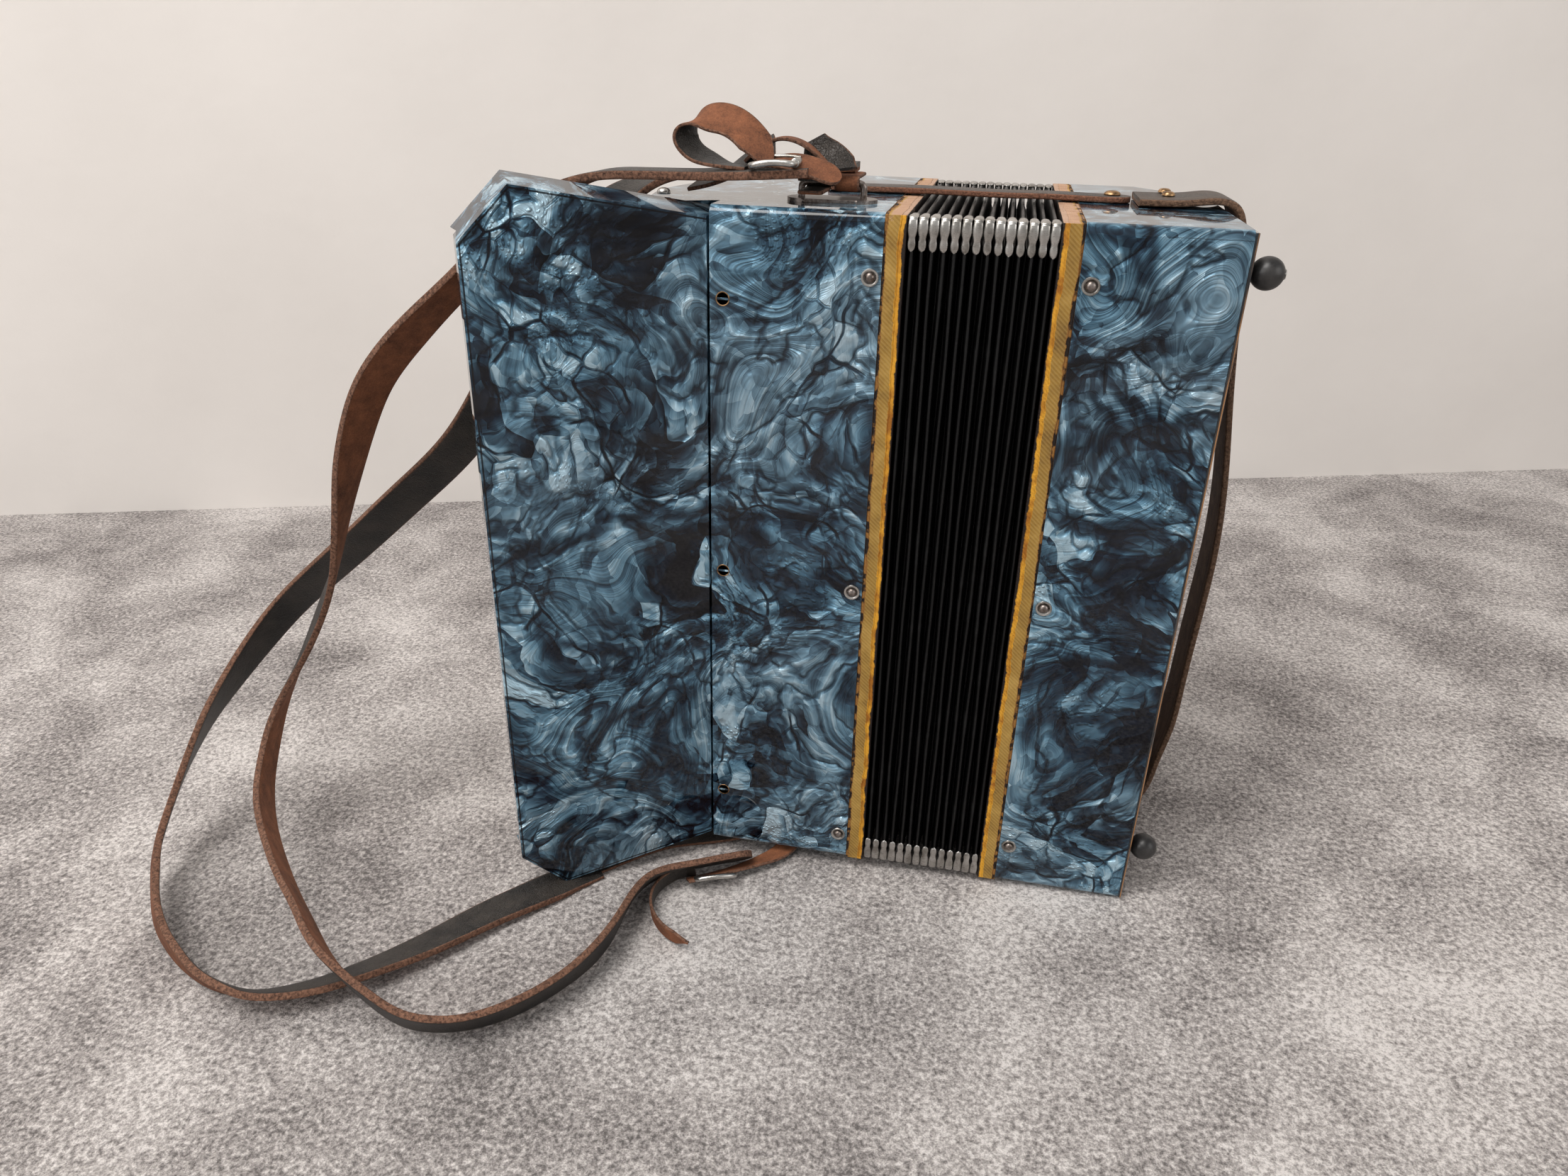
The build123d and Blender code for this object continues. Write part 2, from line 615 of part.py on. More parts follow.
# ---- straps --------------------------------------------------------------------------------------
def ribbon(route, width, thick, count):
    """A flat strap through route points, each with the direction of its width; ruled between sections."""
    points = [Vector(*p) for p, across in route]
    path = Spline(*points)
    marks = [0.0]
    for a, b in zip(points, points[1:]):
        marks.append(marks[-1] + (b - a).length)
    sections = []
    for i in range(count + 1):
        f = i / count
        at = f * marks[-1]
        k = max(j for j in range(len(marks) - 1) if marks[j] <= at + 1e-9)
        mix = (at - marks[k]) / (marks[k + 1] - marks[k])
        across = Vector(*route[k][1]) * (1 - mix) + Vector(*route[k + 1][1]) * mix
        run = path % f
        across = (across - run * across.dot(run)).normalized()
        up = run.cross(across)
        here = path @ f
        corners = [here + across * c * width / 2 + up * d * thick / 2
                   for c, d in ((-1, -1), (1, -1), (1, 1), (-1, 1))]
        sections.append(Wire.make_polygon(corners))
    return Solid.make_loft(sections, ruled=True)


def lean_slope():
    """Slope of the floor in the instrument's frame, from the keyboard's foot to the bass edge."""
    x, y = on_keyboard(KEYB_W - KEYB_CUT, KEYB_T)
    return (KEYB_FLARE + KEYB_DRAFT) / (CASE_END_X - x)


def floor_z(x):
    """Height of the floor below a point of the instrument's frame."""
    return -(CASE_END_X - x) * lean_slope()


def laid(x, y, height):
    """A route point at a height above the floor."""
    return (x, y, floor_z(x) + height)


def bracket_loop(x, side):
    """The end of a shoulder strap, sewn into a loop round the top bracket's bar."""
    bar_z = BODY_H + BRACKET_RISE - BRACKET_WIRE
    inner = BRACKET_WIRE + FIT
    outer = inner + BILLET_T
    bend = Circle(outer) + Pos(side * LOOP_L / 2, 0) * Rectangle(LOOP_L, 2 * outer)
    bend += Pos(side * LOOP_L, 0) * Circle(outer)
    bend -= Circle(inner) + Pos(side * LOOP_L / 2, 0) * Rectangle(LOOP_L, 2 * inner)
    place = Plane(origin=(x - BILLET_W / 2, BRACKET_Y, bar_z), x_dir=(0, 1, 0), z_dir=(1, 0, 0))
    return place * extrude(bend, BILLET_W)


def bellows_strap():
    """Leather tab across the closed bellows, buttoned on the bass stud."""
    length = STUD_X + TAB_W / 2 - TAB_X
    tab = Pos(TAB_X + length / 2, TAB_Y, BODY_H + FIT) * extrude(SlotOverall(length, TAB_W), TAB_T)
    tab -= rod(STUD_X, TAB_Y, BODY_H - 1, (0, 0, 1), STUD_NECK_R + FIT, TAB_T + 3)
    return tab


def bass_strap():
    """Hand strap: screwed on the top of the bass casing, bowed down its end, fixed again near the foot."""
    lift = BODY_H + HAND_T / 2 + FIT
    face = END_X + HAND_T / 2 + FIT
    turn = radians(HAND_TURN_DEG)
    flat = (0, 1, 0)
    lean = (sin(turn), cos(turn), 0)
    curve = [(0.25, BODY_H - 6, flat), (0.35, BODY_H - 20, flat), (0.45, BODY_H - 38, flat),
             (0.55, BODY_H - 59, lean), (0.63, BODY_H - 82, lean), (0.74, BODY_H - 107, lean),
             (0.87, BODY_H * 0.66, lean), (0.98, BODY_H * 0.57, lean), (1, BODY_H * 0.5, lean),
             (0.95, BODY_H * 0.41, lean), (0.88, BODY_H * 0.29, lean), (0.82, BODY_H * 0.215, lean),
             (0.67, 62, lean), (0.48, 38, flat), (0.24, 24, flat)]
    route = [((BASS_X + 31, HAND_Y, lift), flat), ((BASS_X + 41, HAND_Y, lift + 0.1), flat),
             ((BASS_X + 51, HAND_Y, lift + 0.3), flat), ((BASS_X + 61, HAND_Y, lift + 1.2), flat),
             ((BASS_X + 71, HAND_Y, lift + 2.2), flat), ((END_X + 3.6, HAND_Y, BODY_H + 1.2), flat)]
    for share, z, across in curve:
        slant = HAND_SLANT * min(1, max(0, (BODY_H * 0.75 - z) / (BODY_H * 0.6)))
        route.append(((END_X + HAND_BOW * share, HAND_Y - slant, z), across))
    route += [((face + 0.6, HAND_Y - HAND_SLANT, 14), flat), ((face, HAND_Y - HAND_SLANT, 5), flat)]
    strap = ribbon(route, HAND_W, HAND_T, 56)
    for y in HAND_SCREW_Y:
        strap -= rod(HAND_SCREW_X, y, BODY_H - 1, (0, 0, 1), 1.5 + FIT, HAND_T + 4)
    return strap


UP = (0, 0, 1)
OVER = (0, 1, 0)
ALONG = (1, 0, 0)


def shoulder_strap_a():
    """The strap whose loop hangs nearer the keyboard, with its top loop, curled end, billet and tail."""
    top = BODY_H + BRACKET_RISE + BILLET_T + STRAP_T / 2 + FIT * 2
    route = [((48, 18, top), OVER), ((20, 17, top - 2), OVER), ((-14, 17, top - 3.4), OVER),
             ((-40, 13, top - 3.6), OVER), ((-60, 11, top - 5.0), OVER),
             ((-82, 6, BODY_H + 3), (0.05, 0.98, -0.1)), ((-108, -1, 384), (0.13, 0.96, -0.18)),
             ((-132, -5, 360), (0.2, 0.94, -0.24)), ((-153, -7, 341), (0.27, 0.91, -0.29)),
             ((-175, -6, 321), (0.36, 0.87, -0.33)), ((-198, -5, 295), (0.39, 0.89, -0.25)),
             ((-213, -4, 268), (0.32, 0.93, -0.15)), ((-223, -4, 243), (0.17, 0.98, -0.06)),
             ((-231, -4, 218), (-0.08, 1, 0.03)), ((-239, -4, 192), (-0.28, 0.95, 0.09)),
             ((-247, -4, 168), (-0.4, 0.91, 0.14)), ((-258, -5, 144), (-0.46, 0.87, 0.17)),
             ((-272, -7, 117), (-0.44, 0.89, 0.1)), ((-287, -10, 90), (-0.36, 0.92, -0.08)),
             ((-297, -18, 66), (-0.3, 0.82, -0.4)), ((-298, -31, 48), (-0.22, 0.66, -0.7)),
             ((-293, -48, 34), (-0.15, 0.6, -0.78)), (laid(-278, -72, 46), (-0.04, 0.52, -0.86)),
             (laid(-256, -96, 39), (0.04, 0.44, -0.9)), (laid(-236, -115, 35), (0.12, 0.37, -0.92)),
             (laid(-209, -138, 32), (0.18, 0.3, -0.94)), (laid(-184, -159, 30), (0.26, 0.27, -0.92)),
             (laid(-158, -173, 26), (0.16, 0.31, -0.93)), (laid(-141, -178, 19.5), (0, 0.37, -0.92)),
             (laid(-127, -180, 14), (-0.05, 0.42, -0.91)), (laid(-110, -180, 12.5), (-0.06, 0.48, -0.87)),
             (laid(-93, -176, 12.3), (-0.16, 0.49, -0.85)), (laid(-77, -167, 12.4), (-0.26, 0.42, -0.86)),
             (laid(-62, -153, 12.6), (-0.33, 0.32, -0.88)), (laid(-50, -136, 12.8), (-0.35, 0.24, -0.9)),
             (laid(-40, -113, 13), (-0.3, 0.13, -0.94)), (laid(-36, -90, 13), (-0.32, 0.06, -0.94)),
             (laid(-35, -67, 12.5), (-0.42, 0.12, -0.89)), (laid(-27, -44, 11.6), (-0.45, 0.4, -0.79)),
             (laid(-8, -30, 11), (-0.37, 0.59, -0.72)), (laid(11, -20.5, 11), (-0.32, 0.61, -0.72)),
             (laid(29, -12, 11), (-0.32, 0.61, -0.72))]
    curl = [((15, 22, top + 0.4), OVER), ((4, 22, top + 1.0), OVER), ((-9, 23, top + 4.5), OVER),
            ((-20, 24, top + 9), OVER), ((-24, 24, top + 17), OVER), ((-18, 24, top + 25), OVER),
            ((-5, 24, top + 28), OVER), ((7, 22, top + 25), OVER), ((16, 21, top + 18), OVER),
            ((22, 20, top + 9), OVER)]
    across = (-0.4, 0.9, 0)
    slot_z = -(BRACKET_PLATE + FIT + BILLET_T / 2)
    x = LOW_BILLET_X[1]
    billet = [(laid(-7, -38, 3), across), (laid(12, -27, 3), across), (laid(34, -10, 3), (-0.6, 0.8, 0)),
              (laid(47, 6, 3.6), (-0.9, 0.3, 0)), ((x, 26, slot_z - 0.6), (-1, 0, 0)),
              ((x, 36, slot_z), (-1, 0, 0)), ((x, 46, slot_z), (-1, 0, 0)), ((x, 58, slot_z), (-1, 0, 0))]
    side = (0, -0.2, 0.98)
    tail = [(laid(-4, -31, 8.5), side), (laid(-12, -33.5, 8), side), (laid(-19, -39.5, 7), side),
            (laid(-24, -51, 7), side), (laid(-22.5, -65, 7), side), (laid(-15, -78, 7), side),
            (laid(-4, -87, 7), side), (laid(9, -92, 7), side)]
    return [ribbon(route, STRAP_W, STRAP_T, 110), ribbon(curl, CURL_W, BILLET_T, 24),
            ribbon(billet, BILLET_W, BILLET_T, 16), ribbon(tail, BILLET_W - 2, BILLET_T, 14),
            bracket_loop(BRACKET_X - BRACKET_SPAN / 4 + 0.5, -1)]


def shoulder_strap_b():
    """The strap whose loop reaches further out, with its top loop, raised end and lower billet."""
    top = BODY_H + BRACKET_RISE + BILLET_T + STRAP_T / 2 + FIT * 2
    across = (0.5, -0.85, 0)
    route = [((66, 62, top), OVER), ((40, 61, top - 0.6), OVER), ((0, 59, top - 4.5), OVER),
             ((-34, 57, BODY_H + 8), OVER), ((-60, 51, BODY_H - 1), (-0.38, 0.84, 0.38)),
             ((-86, 40, 374), (-0.68, 0.3, 0.66)), ((-116, 27, 327), (-0.76, -0.28, 0.6)),
             ((-140, 22, 284), (-0.68, -0.52, 0.52)), ((-159, 23, 258), (-0.62, -0.61, 0.49)),
             ((-183, 28, 234), (-0.6, -0.61, 0.52)), ((-214, 34, 207), (-0.59, -0.58, 0.56)),
             ((-247, 39, 178), (-0.57, -0.6, 0.56)), ((-296, 45, 136), (-0.53, -0.65, 0.54)),
             ((-323, 44, 111), (-0.36, -0.72, 0.6)), ((-341, 30, 88), (-0.09, -0.68, 0.73)),
             ((-350, 6, 69), (0.18, -0.58, 0.79)), ((-353, -15, 56), (0.35, -0.54, 0.76)),
             ((-354, -35, 42), (0.48, -0.5, 0.72)), ((-353, -56, 27), (0.57, -0.4, 0.71)),
             ((-349, -77, 14), (0.55, -0.28, 0.78)), ((-342, -98, 3), (0.47, -0.16, 0.86)),
             (laid(-332, -114, 19.5), (0.33, -0.02, 0.94)), (laid(-312, -137, 16), (0.17, 0.02, 0.98)),
             (laid(-289, -155, 13.6), (0.01, -0.07, 1)), (laid(-266, -168, 13), (-0.1, -0.2, 0.97)),
             (laid(-249, -175, 12.6), (-0.12, -0.38, 0.91)), (laid(-234, -178, 12), (-0.02, -0.55, 0.83)),
             (laid(-220, -178, 10.6), (0.17, -0.68, 0.7)), (laid(-204, -173, 9.4), (0.33, -0.74, 0.59)),
             (laid(-188, -164, 8.5), (0.46, -0.73, 0.5)), (laid(-172, -151, 7.9), (0.58, -0.68, 0.44)),
             (laid(-158, -137, 7), (0.67, -0.63, 0.37)), (laid(-144, -121, 6), (0.73, -0.61, 0.28)),
             (laid(-131, -104, 5.2), (0.75, -0.62, 0.2)), (laid(-117, -86, 4.6), (0.74, -0.66, 0.13)),
             (laid(-105, -72.5, 4.3), (0.7, -0.71, 0.1)), (laid(-96, -63, 4.2), (0.66, -0.75, 0.08))]
    lie = top + STRAP_T / 2 + BILLET_T / 2 + 0.1
    raised = [((31, 50, lie), (0.2, 0.98, 0)), ((38, 49, lie + 4.4), (0.2, 0.98, 0)),
              ((44, 47, lie + 10.4), (0.2, 0.98, 0)), ((49, 46, lie + 16.4), (0.2, 0.98, 0))]
    slot_z = -(BRACKET_PLATE + FIT + BILLET_T / 2)
    x = LOW_BILLET_X[0]
    billet = [(laid(-110, -70, 1.5), across), (laid(-97, -61.6, 1.35), across),
              (laid(-81.7, -52.2, 1.35), across), (laid(-67.2, -43.4, 1.35), across),
              (laid(-50.1, -32, 1.35), across), (laid(-30, -17, 1.5), across), (laid(-8, -1, 2), across),
              (laid(12, 11, 3), across), (laid(28, 22, 5), (0.8, -0.6, 0)), ((x, 33, slot_z - 0.4), ALONG),
              ((x, 42, slot_z), ALONG), ((x, 50, slot_z), ALONG), ((x, 58, slot_z), ALONG)]
    return [ribbon(route, STRAP_W, STRAP_T, 110), ribbon(raised, CURL_W, BILLET_T, 6),
            ribbon(billet, BILLET_W, BILLET_T, 30),
            bracket_loop(BRACKET_X + BRACKET_SPAN / 4 - 0.5, 1)]


def buckle(length, width):
    """Wire frame of a buckle, lying on z = 0."""
    a, b = length / 2, width / 2
    line = FilletPolyline((-a, -b, 0), (a, -b, 0), (a, b, 0), (-a, b, 0), close=True, radius=4)
    wire = sweep(Plane(origin=line @ 0, z_dir=line % 0) * Circle(BUCKLE_WIRE), path=line)
    return Pos(0, 0, BUCKLE_WIRE) * wire


def strap_buckles():
    """Nickel wire buckles of the shoulder straps, top and bottom."""
    top = BODY_H + BRACKET_RISE + BILLET_T + STRAP_T + FIT * 3
    return [Pos(31, 18, top - 1.2) * Rot(0, -4, 0) * buckle(22, 31),
            Pos(12, -35, floor_z(12) + 3.8 + BILLET_T / 2 + FIT) * Rot(0, 0, 28) * buckle(16, 18)]


# ---- assembly ------------------------------------------------------------------------------------
def build_nodes():
    nodes = {
        "treble_casing": treble_casing(),
        "keyboard_frame": keyboard_frame(),
        "treble_grille": treble_grille(),
        "key_axle": axle_rod(AXLE_R),
        "treble_reed_blocks": reed_blocks(SOUNDBOARD_X + SOUNDBOARD_T, TREBLE_W - 6, BLOCKS, BLOCK_STEP),
        "treble_bellows_frame": bellows_frame("treble"),
        "bellows_folds": bellows_folds(),
        "bellows_corners": bellows_corners(),
        "treble_fasteners": treble_fasteners(),
        "strap_brackets": strap_brackets(),
        "shoulder_strap_a": shoulder_strap_a(),
        "shoulder_strap_b": shoulder_strap_b(),
        "strap_buckles": strap_buckles(),
        "bellows_strap": bellows_strap(),
        "bass_bellows_frame": bellows_frame("bass"),
        "bass_casing": bass_casing(),
        "bass_end_plate": bass_end_plate(),
        "bass_reed_blocks": reed_blocks(BASS_X + 44, BASS_X + 44 - BASS_BLOCK_H, 2, BLOCK_STEP),
        "bass_feet": bass_feet(),
        "bass_strap": bass_strap(),
        "bass_fasteners": bass_fasteners(),
        "air_button": air_button(),
    }
    for number, spec in enumerate(key_list(), start=1):
        nodes[f"key_{number:02d}_{spec[0]}"] = key(*spec)
    for row in range(BUTTON_ROWS):
        nodes[f"bass_buttons_row_{row + 1}"] = button_row(row)
    return nodes


def solids_of(shape):
    """Every solid of a shape or of a list of shapes."""
    if isinstance(shape, (list, tuple, ShapeList)):
        return [s for item in shape for s in solids_of(item)]
    return list(shape.solids())


def standing(nodes):
    """The placement that leans the instrument onto its foot and puts the origin below its middle."""
    turn = Rot(0, degrees(atan2(lean_slope(), 1)), 0)
    everything = Compound(children=[turn * s for solids in nodes.values() for s in solids])
    box = everything.bounding_box()
    return Pos(-box.center().X, -box.center().Y, -box.min.Z) * turn


NODES = {name: solids_of(shape) for name, shape in build_nodes().items()}
STAND = standing(NODES)

os.makedirs("parts", exist_ok=True)
for name, solids in NODES.items():
    placed = [STAND * s for s in solids]
    export_step(placed[0] if len(placed) == 1 else Compound(children=placed), f"parts/{name}.step")
print(len(NODES), "nodes; origin shift and lean", STAND)
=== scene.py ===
"""A piano accordion standing on its lower end, seen from the player's side.

Pearl celluloid casings, a leaning keyboard with its keys on the far side, closed cloth bellows with nickel
corners, a leather hand strap and two shoulder straps that lie in loops on the floor.
"""
import json
import math

import bmesh
import bpy
import numpy as np
from mathutils import Matrix


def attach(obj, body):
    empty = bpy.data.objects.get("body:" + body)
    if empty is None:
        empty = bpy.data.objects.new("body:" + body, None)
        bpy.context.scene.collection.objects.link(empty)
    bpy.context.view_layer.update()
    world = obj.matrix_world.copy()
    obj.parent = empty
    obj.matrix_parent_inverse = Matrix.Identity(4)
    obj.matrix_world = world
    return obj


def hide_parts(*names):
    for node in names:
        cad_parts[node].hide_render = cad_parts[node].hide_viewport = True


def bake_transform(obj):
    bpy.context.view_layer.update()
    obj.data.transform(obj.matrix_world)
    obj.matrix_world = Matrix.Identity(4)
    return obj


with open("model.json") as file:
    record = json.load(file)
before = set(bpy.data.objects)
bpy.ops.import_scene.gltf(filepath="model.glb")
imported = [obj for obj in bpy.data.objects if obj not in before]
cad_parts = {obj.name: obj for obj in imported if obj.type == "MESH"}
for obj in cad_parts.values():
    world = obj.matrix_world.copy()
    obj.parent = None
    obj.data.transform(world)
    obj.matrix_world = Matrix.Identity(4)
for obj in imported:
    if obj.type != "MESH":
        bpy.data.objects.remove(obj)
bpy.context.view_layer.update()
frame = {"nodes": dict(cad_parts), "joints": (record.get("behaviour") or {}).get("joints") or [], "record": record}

# ---- the standing instrument --------------------------------------------------------------------
# An accordion is measured along its own casings, in millimetres: x from the keyboard to the bass end, y from
# the player's back outwards, z up the keyboard.  Stood on end it leans on its keyboard corner and its bass
# edge, so every point below goes through `stand`, which is read off the axle of the lowest key.
BODY_H = 400.0
DEPTH = 212.0
LOW_KEY_ON_AXLE = np.array([-13.0063, 15.1754, 21.4])

low_key = next(joint for joint in frame["joints"] if joint["name"] == "key_01_white_press")
UPWARDS = np.array(low_key["axis"])
UPWARDS = UPWARDS / np.linalg.norm(UPWARDS)
RIGHTWARDS = np.array([UPWARDS[2], 0.0, -UPWARDS[0]])
STAND_TURN = np.stack([RIGHTWARDS, [0.0, 1.0, 0.0], UPWARDS], axis=1)
STAND_SHIFT = np.array(low_key["pos_m"]) - STAND_TURN @ (LOW_KEY_ON_AXLE / 1000)


def stand(points):
    """Instrument millimetres to metres in the shared frame: turned by the lean, then shifted."""
    return np.asarray(points, float) / 1000 @ STAND_TURN.T + STAND_SHIFT


def instrument(points):
    """Metres in the shared frame back to instrument millimetres."""
    return (np.asarray(points, float) - STAND_SHIFT) @ STAND_TURN * 1000


# ---- camera -------------------------------------------------------------------------------------
# A short lens held above the casings and close to them, looking down at the bellows.
camera = bpy.data.objects.new("camera", bpy.data.cameras.new("camera"))
bpy.context.scene.collection.objects.link(camera)
bpy.context.scene.camera = camera
camera.data.sensor_width = 36.0
camera.data.lens = 24.287
camera.data.clip_start = 0.02
right = STAND_TURN @ [0.97954, 0.19990, 0.02308]
look = STAND_TURN @ [-0.16979, 0.88261, -0.43838]
look = look / np.linalg.norm(look)
up = np.cross(right, look)
up = up / np.linalg.norm(up)
pose = np.eye(4)
pose[:3, :3] = np.stack([np.cross(look, up), up, -look], axis=1)
pose[:3, 3] = stand([148.02, -543.42, 460.79])
camera.matrix_world = Matrix(pose.tolist())


# ---- floor, wall and light ----------------------------------------------------------------------
# A pale carpet and a pale plastered wall, which is open from its back so that it hides nothing from there, a
# broad ceiling light and two weaker ones.
def grid_quads(rows, columns, closed=False):
    """Corner numbers of the faces between a grid's points; `closed` joins its last column to its first."""
    index = np.arange(rows * columns).reshape(rows, columns)
    if closed:
        index = np.hstack([index, index[:, :1]])
    return np.stack([index[:-1, :-1], index[:-1, 1:], index[1:, 1:], index[1:, :-1]], axis=-1).reshape(-1, 4)


def grid_mesh(name, points, closed=False):
    """A smooth mesh through a grid of points (rows, columns, 3)."""
    quads = grid_quads(*points.shape[:2], closed)
    mesh = bpy.data.meshes.new(name)
    mesh.vertices.add(points.size // 3)
    mesh.vertices.foreach_set("co", points.astype(np.float32).ravel())
    mesh.loops.add(quads.size)
    mesh.loops.foreach_set("vertex_index", quads.astype(np.int32).ravel())
    mesh.polygons.add(len(quads))
    mesh.polygons.foreach_set("loop_start", np.arange(0, quads.size, 4, dtype=np.int32))
    mesh.polygons.foreach_set("loop_total", np.full(len(quads), 4, dtype=np.int32))
    mesh.update(calc_edges=True)
    mesh.validate()
    mesh.shade_smooth()
    return mesh


def add_object(mesh, *materials):
    """The mesh as an object of its own name, at the origin, in its materials."""
    for material in materials:
        mesh.materials.append(material)
    piece = bpy.data.objects.new(mesh.name, mesh)
    bpy.context.scene.collection.objects.link(piece)
    return piece


def new_material(name, color, roughness, **sockets):
    """A material whose Principled shader holds the values that are the same all over."""
    material = bpy.data.materials.new(name)
    material.use_nodes = True
    shader = material.node_tree.nodes["Principled BSDF"]
    shader.inputs["Base Color"].default_value = (*color, 1.0)
    shader.inputs["Roughness"].default_value = roughness
    for socket, value in sockets.items():
        shader.inputs[socket.replace("_", " ")].default_value = value
    return material


class Field:
    """A number or colour that changes over a surface, held as a node's output.  Arithmetic on it adds the
    nodes that work it out."""

    def __init__(self, socket):
        self.socket, self.tree = socket, socket.id_data

    def math(self, operation, *others, turned=False, clamp=False):
        """This number and others through one operation, in turned order if asked."""
        numbers = (self, *others)[::-1 if turned else 1]
        inputs = {f"i{place}": number for place, number in enumerate(numbers)}
        made = add_node(self.tree, "Math", {"operation": operation, "use_clamp": clamp}, **inputs)
        return Field(made.outputs[0])

    def __add__(self, other):
        return self.math("ADD", other)

    def __sub__(self, other):
        return self.math("SUBTRACT", other)

    def __rsub__(self, other):
        return self.math("SUBTRACT", other, turned=True)

    def __mul__(self, other):
        return self.math("MULTIPLY", other)

    def __abs__(self):
        return self.math("ABSOLUTE")

    __radd__, __rmul__ = __add__, __mul__


class Place(Field):
    """A vector that changes over a surface, such as the point itself."""

    def vector(self, operation, **inputs):
        """This vector with others through one operation."""
        return add_node(self.tree, "VectorMath", {"operation": operation}, i0=self, **inputs).outputs

    def __add__(self, other):
        return Place(self.vector("ADD", i1=other)["Vector"])

    def __sub__(self, other):
        return Place(self.vector("SUBTRACT", i1=other)["Vector"])

    def __mul__(self, other):
        if isinstance(other, tuple):
            return Place(self.vector("MULTIPLY", i1=other)["Vector"])
        return Place(self.vector("SCALE", Scale=other)["Vector"])

    def dot(self, other):
        """How far this vector goes along another."""
        return Field(self.vector("DOT_PRODUCT", i1=other)["Value"])


def feed(socket, value):
    """Gives a socket a Field, a number or a colour."""
    if isinstance(value, Field):
        value.tree.links.new(value.socket, socket)
    else:
        socket.default_value = (*value, 1.0) if socket.type == "RGBA" and len(value) == 3 else value


def add_node(tree, kind, settings=None, **inputs):
    """A shader node; an input's name is its label, or i and its number."""
    made = tree.nodes.new("ShaderNode" + kind)
    for key, value in (settings or {}).items():
        setattr(made, key, value)
    for key, value in inputs.items():
        feed(made.inputs[int(key[1:]) if key[0] == "i" and key[1:].isdigit() else key.replace("_", " ")], value)
    return made


def noise_node(place, scale, detail=2.0, rough=0.5, distort=0.0):
    """Smooth noise of a place."""
    return add_node(place.tree, "TexNoise", None, Vector=place, Scale=scale, Detail=detail, Roughness=rough,
                    Distortion=distort).outputs


def noise(place, *values):
    """Smooth noise as a number from 0 to 1: scale, detail, roughness, distortion."""
    return Field(noise_node(place, *values)["Fac"])


def ramp(value, stops):
    """Colours at stops between 0 and 1, read off by a value."""
    made = add_node(value.tree, "ValToRGB", None, Fac=value)
    while len(made.color_ramp.elements) < len(stops):
        made.color_ramp.elements.new(0.5)
    for element, (place, color) in zip(made.color_ramp.elements, stops):
        element.position, element.color = place, (*color, 1.0)
    return Field(made.outputs["Color"])


def object_place(material):
    """Object coordinates, which hold still on every piece because each one sits at the origin."""
    return Place(add_node(material.node_tree, "TexCoord").outputs["Object"])


def finish_shader(material, color=None, rough=None, height=None, depth=0.0005, strength=1.0, metal=None):
    """Gives the Principled shader a colour, a roughness, a bump's height and a metal share that change."""
    shader = material.node_tree.nodes["Principled BSDF"]
    for label, value in (("Base Color", color), ("Roughness", rough), ("Metallic", metal)):
        if value is not None:
            feed(shader.inputs[label], value)
    if height is not None:
        bump = add_node(material.node_tree, "Bump", None, Height=height, Distance=depth, Strength=strength)
        feed(shader.inputs["Normal"], Field(bump.outputs["Normal"]))
    return material


WALL_FOOT = np.array([-0.05, 0.674])
ALONG_WALL = np.array([0.9710, 0.2391])
TO_VIEWER = np.array([0.2391, -0.9710])


def stage_sheet(name, material, behind, before, height, count=40):
    """A flat sheet of the room, 9 m along the wall: from `behind` to `before` the wall's foot on the floor, and
    from the floor to a height."""
    along = np.linspace(-4.5, 4.5, count)[:, None, None]
    other = np.linspace(0, 1, count)[:, None]
    points = np.zeros((count, count, 3))
    points[..., :2] = WALL_FOOT + along * ALONG_WALL + (behind + other * (before - behind)) * TO_VIEWER
    points[..., 2] = other[:, 0] * height - 0.0004
    sheet = add_object(grid_mesh(name, points), material)
    return sheet


def soft_light(name, at, toward, size, power, color):
    """A square area light at a point, turned toward another."""
    data = bpy.data.lights.new(name, "AREA")
    data.shape, data.size, data.energy, data.color = "SQUARE", size, power, color
    lamp = bpy.data.objects.new(name, data)
    bpy.context.scene.collection.objects.link(lamp)
    away = np.array(at, float) - np.array(toward, float)
    away /= np.linalg.norm(away)
    side = np.cross([0.0, 0.0, 1.0], away)
    side /= np.linalg.norm(side)
    turn = np.eye(4)
    turn[:3, :3] = np.stack([side, np.cross(away, side), away], axis=1)
    turn[:3, 3] = at
    lamp.matrix_world = Matrix(turn.tolist())


carpet = new_material("studio_carpet", (0.4, 0.36, 0.34), 0.95, Specular_IOR_Level=0.1)
place = object_place(carpet)
clouds = noise(place, 6.5, 6.0, 0.66, 0.3)
loops = noise(place, 300.0, 4.0, 0.85)
color = ramp((loops - 0.5) * 1.7 + (clouds - 0.5) * 0.95 + 0.5,
             [(0.24, (0.17, 0.155, 0.15)), (0.5, (0.49, 0.45, 0.435)), (0.74, (0.88, 0.83, 0.805))])
finish_shader(carpet, color, height=loops, depth=0.006, strength=0.7)
stage_sheet("studio_carpet", carpet, -5.0, 7.0, 0.0)

plaster = new_material("studio_wall", (0.66, 0.6, 0.55), 0.9, Specular_IOR_Level=0.1)
tree = plaster.node_tree
place = object_place(plaster)
color = ramp(noise(place, 3.0, 4.0), [(0.3, (0.74, 0.7, 0.665)), (0.7, (0.8, 0.76, 0.725))])
finish_shader(plaster, color, height=noise(place, 14.0, 5.0, 0.6), depth=0.003, strength=0.35)
open_back = add_node(tree, "MixShader", None, i0=Field(add_node(tree, "NewGeometry").outputs["Backfacing"]),
                     i1=Field(tree.nodes["Principled BSDF"].outputs["BSDF"]),
                     i2=Field(add_node(tree, "BsdfTransparent").outputs["BSDF"]))
feed(tree.nodes["Material Output"].inputs["Surface"], Field(open_back.outputs["Shader"]))
stage_sheet("studio_wall", plaster, 0.0, 0.0, 3.2).data.flip_normals()

